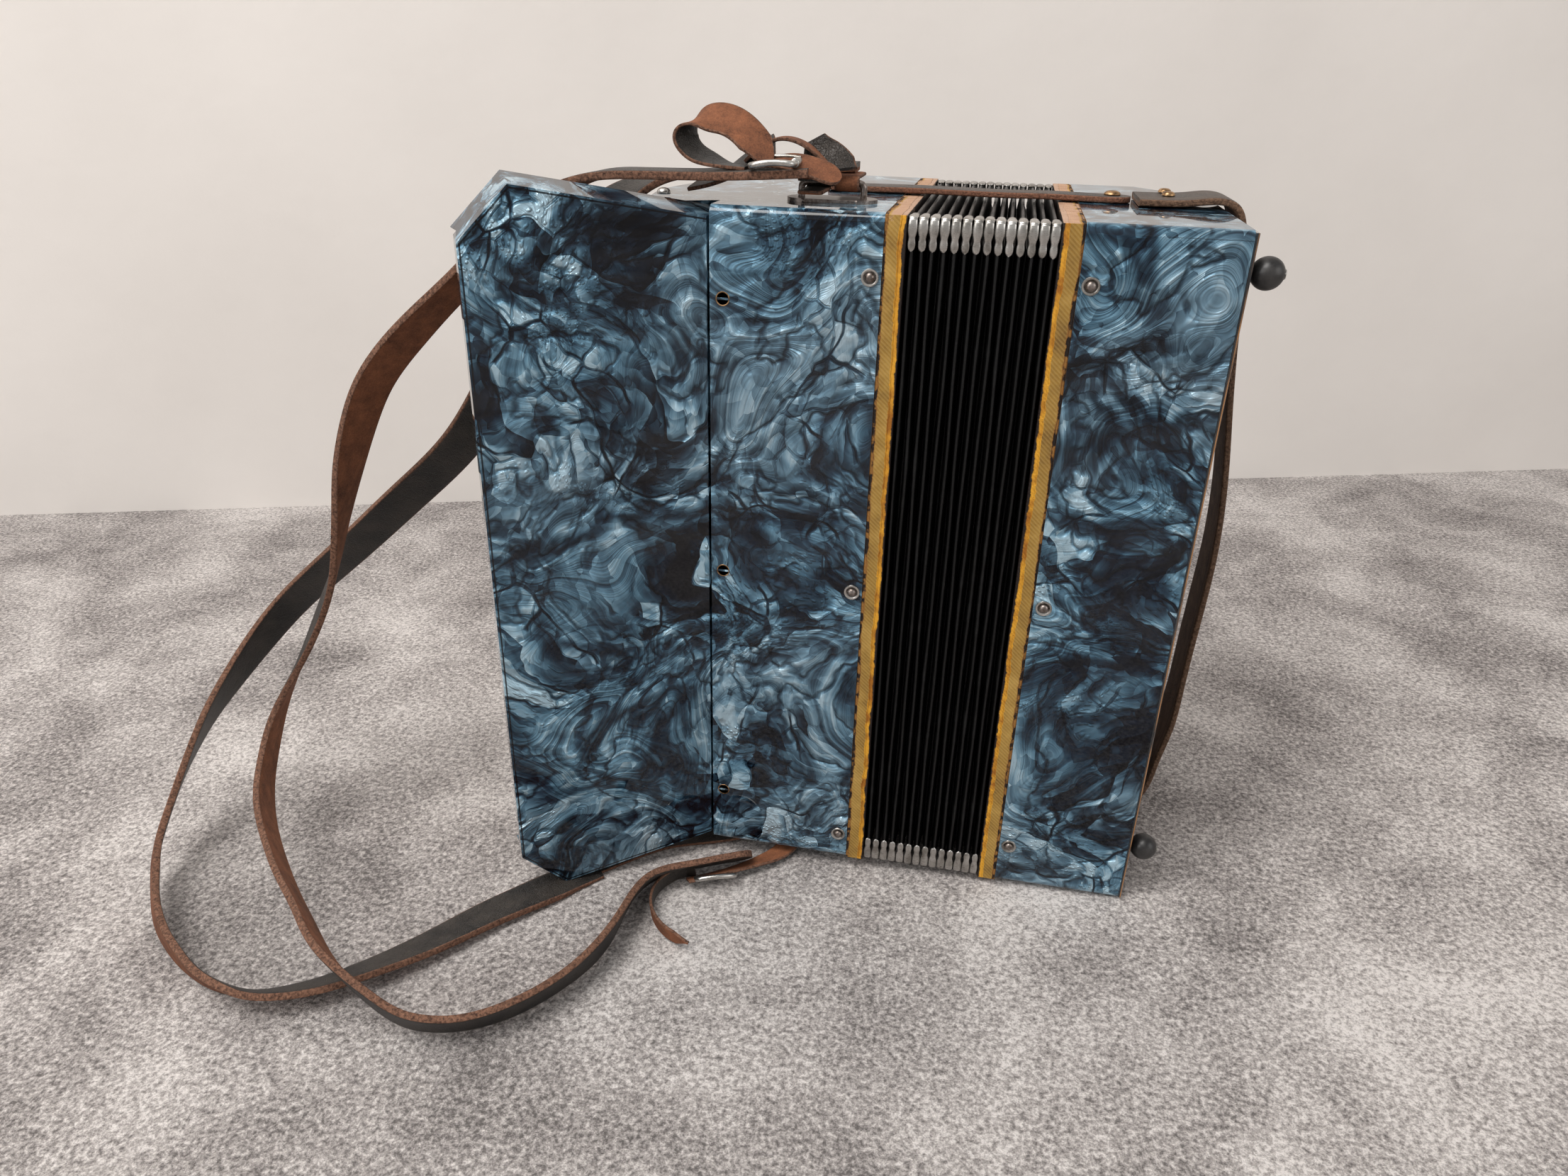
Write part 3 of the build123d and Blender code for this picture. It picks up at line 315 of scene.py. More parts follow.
soft_light("ceiling_light", (-0.6, -0.9, 2.5), (0.0, 0.1, 0.0), 1.3, 50, (1.0, 0.975, 0.945))
soft_light("window_light", (-1.9, -2.0, 1.5), (0.0, 0.1, 0.15), 1.2, 17, (1.0, 0.98, 0.96))
soft_light("right_fill", (2.4, -0.9, 1.2), (0.0, 0.1, 0.2), 1.4, 12, (1.0, 0.985, 0.965))
world = bpy.data.worlds.new("studio_air")
bpy.context.scene.world = world
world.use_nodes = True
world.node_tree.nodes["Background"].inputs["Color"].default_value = (1.0, 0.98, 0.96, 1.0)
world.node_tree.nodes["Background"].inputs["Strength"].default_value = 0.5
bpy.context.scene.view_settings.view_transform = "Standard"


# ---- casings and keyboard slab ------------------------------------------------------------------
# Wooden boxes covered with sheets of pearl celluloid, softened, laid round the edges and scraped flush.
# The sheet is pearl flakes set in blue while it was stirred, so it shows swirls, crushed plates and creases.
HALF = (0.5, 0.5, 0.5)


def drift(place, *values):
    """Smooth noise as a vector that points anywhere, from -0.5 to 0.5."""
    return Place(noise_node(place, *values)["Color"]) - HALF


def cells(place, scale, feature="DISTANCE_TO_EDGE", **more):
    """Space split into cells round scattered points: the distance to a cell's edge, or as the feature says."""
    made = add_node(place.tree, "TexVoronoi", {"feature": feature}, Vector=place, Scale=scale, **more)
    return Field(made.outputs["Distance"])


def wave(place, bands, scale, distort):
    """Parallel bands across a direction."""
    return Field(add_node(place.tree, "TexWave", {"wave_type": "BANDS", "bands_direction": bands}, Vector=place,
                          Scale=scale, Distortion=distort).outputs["Fac"])


def largest(a, b):
    """The larger of two numbers."""
    return a.math("MAXIMUM", b)


def least(a, b):
    """The smaller of two numbers."""
    return a.math("MINIMUM", b)


def step_up(value, low, high):
    """0 below low, 1 above high, eased between."""
    made = add_node(value.tree, "MapRange", {"interpolation_type": "SMOOTHSTEP"}, Value=value, From_Min=low,
                    From_Max=high)
    return Field(made.outputs["Result"])


def band(value, low, high, soft=0.15):
    """1 between low and high, 0 outside."""
    return step_up(value, low - soft, low + soft) * (1.0 - step_up(value, high - soft, high + soft))


def blend_colors(share, a, b):
    """Colour a passing into colour b by a share from 0 to 1."""
    made = share.tree.nodes.new("ShaderNodeMix")
    made.data_type = "RGBA"
    for place, value in ((0, share), (6, a), (7, b)):
        feed(made.inputs[place], value)
    return Field(made.outputs[2])


def new_group(name, inputs, outputs):
    """An empty node group with named inputs and outputs: its tree, its inputs and its end node."""
    tree = bpy.data.node_groups.new(name, "ShaderNodeTree")
    for label, value in inputs.items():
        kind = "NodeSocketVector" if value is None else "NodeSocketFloat"
        socket = tree.interface.new_socket(label, in_out="INPUT", socket_type=kind)
        if value is not None:
            socket.default_value = value
    for label in outputs:
        kind = "NodeSocketColor" if label == "Color" else "NodeSocketFloat"
        tree.interface.new_socket(label, in_out="OUTPUT", socket_type=kind)
    start = tree.nodes.new("NodeGroupInput")
    held = {label: (Place if value is None else Field)(start.outputs[label]) for label, value in inputs.items()}
    return tree, held, tree.nodes.new("NodeGroupOutput")


def use_group(material, group, **inputs):
    """The group placed in a material with its own values: its outputs by name."""
    made = material.node_tree.nodes.new("ShaderNodeGroup")
    made.node_tree = group
    for key, value in inputs.items():
        feed(made.inputs[key], value)
    return {socket.name: Field(socket) for socket in made.outputs}


def plate_shade(place, scale):
    """Crushed plates: cells of a space, each one shaded along its own random direction, so that its shade
    breaks off at the next; also the distance to the nearest crease."""
    plate = add_node(place.tree, "TexVoronoi", None, Vector=place, Scale=scale).outputs
    way = Place((Place(plate["Color"]) - HALF).vector("NORMALIZE")["Vector"])
    inside = place - Place(plate["Position"])
    return inside.dot(way) * scale, cells(place, scale)


PEARL_STOPS = [(0.0, (0.001, 0.0016, 0.004)), (0.2, (0.004, 0.008, 0.017)), (0.36, (0.018, 0.042, 0.07)),
               (0.52, (0.06, 0.135, 0.2)), (0.7, (0.155, 0.3, 0.41)), (0.9, (0.4, 0.58, 0.69))]
PEARL_GREY_STOPS = [(0.0, (0.002, 0.0025, 0.0045)), (0.36, (0.03, 0.047, 0.064)), (0.64, (0.16, 0.22, 0.265)),
                    (0.9, (0.42, 0.5, 0.56))]


def pearl_group():
    """Stirred pearl.  Object space is bent by slow noise.  Flow lines are a fast noise read along a slow one, so
    they follow its contours; veins are where another slow noise passes its middle.  Crushed plates of three
    sizes lie over them where a mask is high; each is shaded to its own side, and some of the creases between
    them are dark, with a thin painted highlight on either side of the crease."""
    tree, given, end = new_group("stirred_pearl", {"Vector": None, "Plates": 24.0}, ["Color", "Height", "Value"])
    place, plates = given["Vector"], given["Plates"]
    slow = drift(place, 9.0, 1.0)
    bent = place + slow * 0.17
    crushed = place + slow * 0.1 + drift(place, 24.0, 2.5) * 0.034
    mask = step_up(noise(place, 12.0, 1.0), 0.40, 0.56)
    flow = 1.0 - mask * 0.6

    first, crease = plate_shade(crushed, plates)
    second, fine_crease = plate_shade(crushed, plates * 2.3)
    third, _ = plate_shade(crushed, plates * 5.2)
    lines = Field(add_node(tree, "TexNoise", {"noise_dimensions": "1D"}, W=noise(bent, 8.0, 1.5) * 46.0, Scale=1.0,
                           Detail=4.0, Roughness=0.62).outputs["Fac"])
    patch = noise(bent, 20.0, 4.0, 0.6, 0.5)
    ridge = abs(noise(crushed, 24.0, 3.0) - 0.5)
    shown = mask * step_up(noise(place, 55.0, 2.0), 0.44, 0.6)
    # Painted highlight: a thin bright band beside the shown creases, where light would catch their edges, lightens
    # the colour.
    crease_painted_highlight = band(crease, 0.025, 0.08, 0.02) * shown
    value = mask * first * 0.48 + 0.62 + mask * second * 0.44 + third * 0.2 + (ridge - 0.07) * 0.8 \
        + (lines - 0.5) * flow + (patch - 0.5) + (noise(place, 5.0, 1.0) - 0.5) * 0.3 + crease_painted_highlight * 0.16

    hidden = 1.0 - shown
    fold = largest(step_up(crease, 0.0, 0.028), hidden) \
        * largest(step_up(fine_crease, 0.0, 0.05), hidden * 0.5 + 0.5) * (step_up(ridge, 0.0, 0.03) * 0.45 + 0.55)
    vein = step_up(abs(noise(bent, 7.0, 3.0, 0.6) - 0.47), 0.0, 0.045)
    value = value.math("MULTIPLY", (fold * 0.7 + 0.3) * (vein * 0.5 + 0.5), clamp=True)
    grey = step_up(noise(bent, 8.0, 1.0), 0.45, 0.68)
    color = blend_colors(grey * 0.4, ramp(value, PEARL_STOPS), ramp(value, PEARL_GREY_STOPS))

    bubbles = step_up(cells(crushed, 330.0, "SMOOTH_F1", Smoothness=0.4), 0.45, 0.12) \
        * step_up(noise(place, 13.0, 1.0), 0.53, 0.62)
    height = mask * first * 0.5 + fold * 0.6 + second * 0.3 + third * 0.2 + least(ridge, 0.12) * 4.5 \
        + lines * flow * 0.9 + patch * 0.9 + bubbles * 0.3
    for label, field in (("Color", color), ("Height", height), ("Value", value)):
        feed(end.inputs[label], field)
    return tree


STIRRED_PEARL = pearl_group()


def pearl_celluloid(name, plates=24.0):
    """Glossy pearl sheet: the stirred pearl under a clear, polished skin."""
    material = new_material(name, (0.05, 0.1, 0.15), 0.3, Metallic=0.0, Specular_IOR_Level=0.0, Coat_Weight=1.0,
                            Coat_Roughness=0.03, Coat_IOR=1.45)
    pearl = use_group(material, STIRRED_PEARL, Vector=object_place(material), Plates=plates)
    metal = pearl["Value"].math("MULTIPLY_ADD", 0.45, 0.02, clamp=True)
    return finish_shader(material, pearl["Color"], pearl["Value"] * -0.12 + 0.44, pearl["Height"], 0.0045, 1.0, metal)


def instrument_group():
    """Object coordinates turned into the instrument's own millimetres."""
    tree, given, end = new_group("instrument_axes", {"Vector": None}, "XYZ")
    moved = given["Vector"] - tuple(STAND_SHIFT)
    for label, axis in zip("XYZ", STAND_TURN.T * 1000):
        feed(end.inputs[label], moved.dot(tuple(axis)))
    return tree


INSTRUMENT_AXES = instrument_group()


def axes_of(material):
    """The instrument's x, y and z on a material, in millimetres, and the plain object place."""
    place = object_place(material)
    made = use_group(material, INSTRUMENT_AXES, Vector=place)
    return made["X"], made["Y"], made["Z"], place


KEY_LEAN = math.radians(31.4)


def key_axes(x_mm, y_mm):
    """Place along the slab and above its back, from the instrument's x and y."""
    out = x_mm + 1.4
    return (out * -math.cos(KEY_LEAN) + y_mm * -math.sin(KEY_LEAN),
            out * -math.sin(KEY_LEAN) + y_mm * math.cos(KEY_LEAN))


def slab_purfling(material):
    """The thin dark line inlaid round the back of the keyboard slab, at a steady distance from its outline."""
    x_mm, y_mm, z_mm, _ = axes_of(material)
    along, above = key_axes(x_mm, y_mm)
    nearest = 123.0 - along
    for edge in (along * 0.166 + 394.5 - z_mm, along * 0.166 - 5.5 + z_mm, (507.6 - along - z_mm) * 0.7071,
                 (z_mm - along + 107.6) * 0.7071):
        nearest = least(nearest, edge)
    line = band(nearest, 1.0, 1.9, 0.12) * (1.0 - step_up(abs(above), 0.3, 0.6))
    socket = material.node_tree.nodes["Principled BSDF"].inputs["Base Color"]
    feed(socket, blend_colors(line * 0.92, Field(socket.links[0].from_socket), (0.004, 0.004, 0.006)))
    return material


def merged_copy(node, name, plugged=(), keep=None):
    """A CAD node's mesh with its corners joined and its flat faces whole.  `plugged` are the axes (x, z) of
    nail and screw holes that a head covers: their walls are taken out and the holes closed."""
    mesh = frame["nodes"][node].data.copy()
    mesh.name = name
    mesh.materials.clear()
    work = bmesh.new()
    work.from_mesh(mesh)
    bmesh.ops.remove_doubles(work, verts=work.verts, dist=2e-6)
    middle = instrument(np.array([face.calc_center_median()[:] for face in work.faces]))
    unwanted = np.zeros(len(middle), bool)
    if keep is not None:
        unwanted |= ~keep(middle)
    if plugged:
        away = np.min([np.hypot(middle[:, 0] - x, middle[:, 2] - z) for x, z in plugged], axis=0)
        along = np.array([abs(face.normal[1]) for face in work.faces])
        unwanted |= (away < 3.6) & (along < 0.5) & (np.minimum(middle[:, 1], DEPTH - middle[:, 1]) < 16)
    bmesh.ops.delete(work, geom=[face for face, out in zip(list(work.faces), unwanted) if out], context="FACES")
    if plugged:
        bmesh.ops.holes_fill(work, edges=[edge for edge in work.edges if edge.is_boundary], sides=64)
    bmesh.ops.dissolve_limit(work, angle_limit=math.radians(0.6), verts=work.verts, edges=work.edges)
    work.to_mesh(mesh)
    work.free()
    return mesh


def face_places(mesh):
    """Middle (instrument millimetres) and normal (instrument directions) of every face."""
    centre, normal = np.zeros(len(mesh.polygons) * 3), np.zeros(len(mesh.polygons) * 3)
    mesh.polygons.foreach_get("center", centre)
    mesh.polygons.foreach_get("normal", normal)
    return instrument(centre.reshape(-1, 3)), normal.reshape(-1, 3) @ STAND_TURN


def round_edges(mesh, width, steps, shortest):
    """Rounds every sharp edge longer than `shortest`, and leaves what is still sharp marked as such."""
    work = bmesh.new()
    work.from_mesh(mesh)
    sharp = [edge for edge in work.edges if len(edge.link_faces) == 2
             and edge.calc_face_angle(0) > math.radians(32) and edge.calc_length() > shortest / 1000]
    bmesh.ops.bevel(work, geom=sharp, offset=width / 1000, offset_type="OFFSET", segments=steps, profile=0.5,
                    affect="EDGES", clamp_overlap=True)
    work.to_mesh(mesh)
    work.free()
    mesh.shade_smooth()
    mesh.set_sharp_from_angle(angle=math.radians(42))


def frame_slot(node):
    """The material slot that the record gives a CAD node."""
    return next(part["material_slot"] for part in frame["record"]["subparts"] if part["node"] == node)


def dressed(node, body, materials, round_edge=0.8, steps=2, choose=None, name=None, plugged=(), shortest=4.0,
            keep=None):
    """A CAD node with rounded edges and real finishes; `choose` gives each face its material's number."""
    mesh = merged_copy(node, name or node + "_dressed", plugged, keep)
    piece = add_object(mesh, *materials)
    if choose is not None:
        mesh.polygons.foreach_set("material_index", np.asarray(choose(*face_places(mesh)), dtype=np.int32))
    if round_edge:
        round_edges(mesh, round_edge, steps, shortest)
    even = piece.modifiers.new("even_shading", "WEIGHTED_NORMAL")
    even.weight, even.keep_sharp = 90, True
    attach(piece, body)
    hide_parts(node)
    frame_slot(node)
    return piece


pearl = pearl_celluloid("pearl_celluloid")
slab_pearl = slab_purfling(pearl_celluloid("keyboard_pearl_celluloid"))
case_wood = new_material("case_wood", (0.32, 0.19, 0.1), 0.6)
grain = noise(object_place(case_wood) * (9.0, 9.0, 1.0), 22.0, 5.0, 0.62)
color = ramp(grain, [(0.3, (0.2, 0.11, 0.055)), (0.55, (0.33, 0.2, 0.105)), (0.75, (0.42, 0.27, 0.15))])
finish_shader(case_wood, color, grain * 0.25 + 0.5, grain, 0.0003, 0.4)

TREBLE_W, BELLOWS_W, BASS_W = 89.0, 96.0, 78.0
BASS_X, END_X = TREBLE_W + BELLOWS_W, TREBLE_W + BELLOWS_W + BASS_W
TREBLE_PINS = [(83.2, z) for z in (369.0, 193.0, 19.0)]
BASS_PINS = [(190.8, z) for z in (371.0, 196.0, 29.0)]
SEAM_SCREWS = [(7.0, z) for z in (354.0, 198.0, 41.0)]
BUTTON_CUT = (58.0, 40.0, 261.0 * 58.0 + 154.0 * 40.0 - 60.0)


def within_walls(middle):
    """Faces deeper than the walls' skin, in y and z."""
    return (middle[:, 1] > 3) & (middle[:, 1] < DEPTH - 3) & (middle[:, 2] > 3) & (middle[:, 2] < BODY_H - 3)


def treble_faces(middle, normal):
    """Bare wood inside the treble casing, pearl outside."""
    return (middle[:, 0] > 1.0) & within_walls(middle) | (normal[:, 0] > 0.9) & (middle[:, 0] > 30)


def bass_faces(middle, normal):
    """Bare wood inside the bass casing, pearl outside and on the button board."""
    before_cut = middle[:, 0] * BUTTON_CUT[0] + middle[:, 1] * BUTTON_CUT[1] < BUTTON_CUT[2]
    return (middle[:, 0] < END_X - 2.2) & within_walls(middle) & before_cut | (normal[:, 0] < -0.9)


dressed("treble_casing", "treble_side", [pearl, case_wood], 0.9, 3, treble_faces, plugged=TREBLE_PINS + SEAM_SCREWS)
dressed("bass_casing", "bass_side", [pearl, case_wood], 0.9, 3, bass_faces, plugged=BASS_PINS)
dressed("keyboard_frame", "treble_side", [slab_pearl, case_wood], 0.8, 3)
dressed("treble_grille", "treble_side", [pearl, case_wood], 0.5, 2, shortest=12.0)


# ---- bellows frames -----------------------------------------------------------------------------
# Bare wood frames pinned into the casings.  A strip of ochre book cloth is glued round each one; its edges
# are frayed, glue shows along the bellows side and black paint along the casing side.
frame_cloth = new_material("frame_cloth_tape", (0.36, 0.2, 0.04), 0.7, Specular_IOR_Level=0.3)
x_mm, y_mm, z_mm, place = axes_of(frame_cloth)
fray, waver = noise(place, 260.0, 4.0, 0.7), noise(place, 34.0, 2.0)
from_casing = least(abs(x_mm - TREBLE_W), abs(x_mm - BASS_X)) + (fray * 2.6 + waver * 3.4 - 3.0)
weave = wave(place, "DIAGONAL", 260.0, 0.4) + ((x_mm - z_mm) * 6.6).math("SINE") * 0.35
cloth_color = ramp(noise(place, 48.0, 5.0, 0.65), [(0.3, (0.17, 0.088, 0.018)), (0.48, (0.33, 0.185, 0.035)),
                                                   (0.66, (0.47, 0.285, 0.07))])
cloth_color = blend_colors(weave * 0.32, cloth_color, (0.52, 0.36, 0.13))
glue = ramp(noise(place, 120.0, 3.0), [(0.35, (0.36, 0.13, 0.012)), (0.6, (0.74, 0.36, 0.03))])
bare = ramp(noise(place * (1.0, 7.0, 1.0), 120.0, 3.0), [(0.3, (0.36, 0.2, 0.12)), (0.7, (0.56, 0.36, 0.24))])
soot = (0.016, 0.01, 0.008)
color = blend_colors(step_up(from_casing, 7.3, 7.8), cloth_color, glue)
color = blend_colors(step_up(from_casing, 9.7, 10.3), color, soot)
color = blend_colors(1.0 - step_up(from_casing, 1.7, 2.1), color, (0.3, 0.14, 0.035))
paint = (1.0 - step_up(from_casing, 1.3, 1.7)) * step_up(noise(place, 150.0, 3.0), 0.42, 0.52)
color = blend_colors(paint, color, soot)
from_end = least(BODY_H - z_mm, z_mm)
torn = (1.0 - step_up(from_end + noise(place, 85.0, 4.0, 0.6) * -26.0, -13.5, -12.9)) \
    * step_up(noise(place, 26.0, 2.0), 0.46, 0.5)
end_wood = (1.0 - step_up(from_end, 0.45, 0.75)) * step_up(from_casing, 2.5, 2.9)
color = blend_colors(largest(torn, end_wood), color, bare)
height = band(from_casing, 1.3, 8.2, 0.3) * 2.2 + weave * 0.4 + torn * -1.2
finish_shader(frame_cloth, color, step_up(from_casing, 8.0, 8.6) * -0.35 + 0.78, height, 0.00032, 0.9)
dressed("treble_bellows_frame", "treble_side", [frame_cloth, case_wood], 0.9, 3,
        lambda middle, normal: middle[:, 0] < TREBLE_W - 0.1, plugged=TREBLE_PINS)
dressed("bass_bellows_frame", "bass_side", [frame_cloth, case_wood], 0.9, 3,
        lambda middle, normal: middle[:, 0] > BASS_X + 0.1, plugged=BASS_PINS)


# ---- bellows ------------------------------------------------------------------------------------
# Fourteen pleats of card, covered with black cloth tape over every crest, and pressed shut.
FOLDS_X, FOLDS_W, FOLDS = 100.0, 74.0, 14
FOLD_PITCH = FOLDS_W / FOLDS
RINGS = 12
CREST_IN, ROLL_END_IN, VALLEY_IN, ROLL = 1.8, 2.7, 15.5, 0.36


def rounded_rectangle(inset, radius, count_side=24, count_corner=6):
    """Points round the bellows' section at an inset from the casings' outside: quarter circles joined by
    straight sides."""
    low, top = inset + radius, np.array([DEPTH, BODY_H]) - inset - radius
    angle = np.linspace(0, math.pi / 2, count_corner)
    quarters = []
    for k, middle in enumerate(((top[0], top[1]), (low, top[1]), (low, low), (top[0], low))):
        turn = angle + k * math.pi / 2
        quarters.append(np.stack([middle[0] + radius * np.cos(turn), middle[1] + radius * np.sin(turn)], 1))
    share = np.linspace(0, 1, count_side + 2)[1:-1, None]
    closed = []
    for k, quarter in enumerate(quarters):
        closed += [quarter, quarter[-1] * (1 - share) + quarters[(k + 1) % 4][0] * share]
    return np.concatenate(closed)


def pleated_tube():
    """Rings of rounded rectangles along the bellows; their inset swings between crest and valley, with each
    crest a rounded tape roll and each valley a sharp crease.  Slow waves make every pleat lie a little unlike
    its neighbour."""
    from_crest = np.abs(2 * np.linspace(0, 1, RINGS + 1) - 1)
    slope = (np.maximum(from_crest - ROLL, 0) / (1 - ROLL)) ** 0.75
    depth = np.where(from_crest < ROLL, CREST_IN + (ROLL_END_IN - CREST_IN) * (from_crest / ROLL) ** 2.4,
                     ROLL_END_IN + (VALLEY_IN - ROLL_END_IN) * slope)
    inset = np.append(np.tile(depth[:-1], FOLDS), depth[-1])
    x = FOLDS_X + FOLDS_W * np.linspace(0, 1, len(inset))
    outline = np.array([rounded_rectangle(d, max(1.4, 5.0 - 0.2 * d)) for d in inset])
    points = np.concatenate([np.broadcast_to(x[:, None, None], (*outline.shape[:2], 1)), outline], axis=2)
    fold, z = np.arange(len(x))[:, None] // RINGS, points[..., 2]
    sway = 0.35 * np.sin(z * 0.021 + fold * 1.7) + 0.22 * np.sin(z * 0.067 + fold * 2.9)
    from_frame = np.minimum(points[..., 0] - FOLDS_X, FOLDS_X + FOLDS_W - points[..., 0])
    points[..., 0] += sway * np.clip(from_frame / FOLD_PITCH, 0, 1)
    return points


def between_frames(piece):
    """Bakes a piece's placement into its mesh and leaves it at the origin."""
    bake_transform(piece)


cloth = new_material("bellows_cloth", (0.004, 0.004, 0.0045), 0.62, Specular_IOR_Level=0.3)
place = object_place(cloth)
worn = step_up(noise(place, 60.0, 4.0, 0.6), 0.5, 0.75)
finish_shader(cloth, blend_colors(worn * 0.7, (0.002, 0.0018, 0.002), (0.009, 0.0085, 0.009)), worn * 0.2 + 0.36,
              noise(place, 900.0) * 0.6 + wave(place, "Z", 520.0, 1.2), 0.0001, 0.5)
folds = add_object(grid_mesh("bellows_pleats", stand(pleated_tube()), closed=True), cloth)
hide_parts("bellows_folds")
between_frames(folds)


# ---- bellows corners ----------------------------------------------------------------------------
# Every crest has a pressed nickel cap at each of its four corners: a bulb over the corner, a waist, and two
# tongues folded down over the pleat's sides.
nickel = new_material("nickel_plate", (0.58, 0.57, 0.55), 0.3, Metallic=1.0)
place = object_place(nickel)
tarnish = noise(place, 90.0, 5.0, 0.62)
scuff = noise(place * (1.0, 1.0, 6.0), 420.0, 3.0)
color = ramp(tarnish, [(0.3, (0.2, 0.185, 0.165)), (0.5, (0.46, 0.445, 0.42)), (0.75, (0.66, 0.65, 0.63))])
finish_shader(nickel, color, scuff * 0.3 + 0.16, tarnish + scuff, 0.0002, 0.25)

CAP_LEG, CAP_BEND, CAP_SECTION, CAP_IN = 16.0, 2.6, 14, 1.7


def corner_cap(x, corner_y, corner_z, way_y, way_z):
    """A tube bent round a corner: along the way its half width swells to a bulb, narrows to a waist and ends
    in a rounded tongue; its section is a flattened half round."""
    way = np.linspace(-1, 1, 41)
    reach = np.abs(way) * CAP_LEG
    in_bend = CAP_BEND * 0.3 * (1 - np.clip(reach / CAP_BEND, 0, 1)) ** 2
    y, z = np.where(way < 0, reach, in_bend), np.where(way > 0, reach, in_bend)
    half = 2.25 - 0.5 * np.exp(-((reach - 9.5) / 2.0) ** 2) + 0.35 * np.exp(-((reach - 5.0) / 3.0) ** 2)
    half = half * np.sqrt(np.clip(1 - (reach / CAP_LEG) ** 10, 0.0, 1))
    lift = (0.9 + 0.3 * np.exp(-((reach - 5.0) / 4.0) ** 2)) * np.sqrt(np.clip(half / 2.1, 0.05, 1))
    turn = np.linspace(0, 2 * math.pi, CAP_SECTION, endpoint=False)
    rise = np.sin(turn) * lift[:, None]
    away_y = np.where(way < -0.12, 0.0, np.where(way > 0.12, 1.0, 0.7))[:, None]
    away_z = np.where(way < -0.12, 1.0, np.where(way > 0.12, 0.0, 0.7))[:, None]
    return np.stack([x + np.cos(turn) * half[:, None], corner_y + way_y * (y[:, None] - rise * away_y),
                     corner_z + way_z * (z[:, None] - rise * away_z)], axis=2)


def outward(mesh):
    """The mesh with all its faces turned outwards and smooth."""
    work = bmesh.new()
    work.from_mesh(mesh)
    bmesh.ops.recalc_face_normals(work, faces=work.faces)
    work.to_mesh(mesh)
    work.free()
    mesh.shade_smooth()
    return mesh


def joined_grids(name, grids):
    """One mesh from several grids that are closed round their section, with both ends capped."""
    faces, first = [], 0
    for points in grids:
        rows, columns = points.shape[:2]
        end = np.arange(columns)
        faces += (grid_quads(rows, columns, True) + first).tolist()
        faces += [(end[::-1] + first).tolist(), (end + first + (rows - 1) * columns).tolist()]
        first += rows * columns
    mesh = bpy.data.meshes.new(name)
    mesh.from_pydata(stand(np.concatenate([points.reshape(-1, 3) for points in grids])).tolist(), [], faces)
    return outward(mesh)


for fold in range(FOLDS):
    middle = FOLDS_X + (fold + 0.5) * FOLD_PITCH
    caps = [corner_cap(middle, CAP_IN if way_y > 0 else DEPTH - CAP_IN, CAP_IN if way_z > 0 else BODY_H - CAP_IN,
                       way_y, way_z) for way_y in (1, -1) for way_z in (1, -1)]
    cap = add_object(joined_grids(f"bellows_corner_caps_{fold + 1:02d}", caps), nickel)
    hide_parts("bellows_corners")
    between_frames(cap)


# ---- shoulder straps ----------------------------------------------------------------------------
# Two long straps of two layers of leather glued back to back: black grained hide outside, brown suede inside,
# the cut edges left raw.  Each is sewn in a loop round the top bracket, slung over the keyboard, and lies on
# its edge on the floor before its narrow billet runs under the instrument to the lower bracket.
def running_length(points):
    """Way along the straight runs from the first point to each one."""
    return np.concatenate([[0], np.cumsum(np.linalg.norm(np.diff(points[:, :3], axis=0), axis=1))])


def smooth_path(points, count):
    """Natural cubic through the points in their running length, sampled evenly `count` times: its second
    derivatives solve the usual three-banded system."""
    points = np.asarray(points, float)
    length = running_length(points)
    n, step = len(points), np.diff(length)
    system = np.diag(np.concatenate([[1.0], 2 * (step[:-1] + step[1:]), [1.0]]))
    inner = np.arange(1, n - 1)
    system[inner, inner - 1], system[inner, inner + 1] = step[:-1], step[1:]
    change = np.zeros_like(points)
    change[1:-1] = 6 * np.diff(np.diff(points, axis=0) / step[:, None], axis=0)
    bend = np.linalg.solve(system, change)
    at = np.linspace(0, length[-1], count)
    k = np.clip(np.searchsorted(length, at, side="right") - 1, 0, n - 2)
    h, a, b = step[k][:, None], (length[k + 1] - at)[:, None], (at - length[k])[:, None]
    return (bend[k] * a ** 3 + bend[k + 1] * b ** 3) / (6 * h) + (points[k] / h - bend[k] * h / 6) * a \
        + (points[k + 1] / h - bend[k + 1] * h / 6) * b


def unit(vectors):
    """Vectors of length one."""
    return vectors / np.maximum(np.linalg.norm(vectors, axis=-1, keepdims=True), 1e-12)


def strap_frame(route, count):
    """Centre line, and the directions across and out of a strap's faces, along its route of points and
    across directions."""
    spots, acrosses = (np.array(part, float) for part in zip(*route))
    both = smooth_path(np.hstack([spots, unit(acrosses)]), count)
    centre = both[:, :3]
    run = unit(np.gradient(centre, axis=0))
    across = unit(both[:, 3:] - run * np.sum(both[:, 3:] * run, 1, keepdims=True))
    return centre, across, np.cross(run, across)


def even_share(way):
    """The whole share everywhere along a strap."""
    return np.ones_like(way)


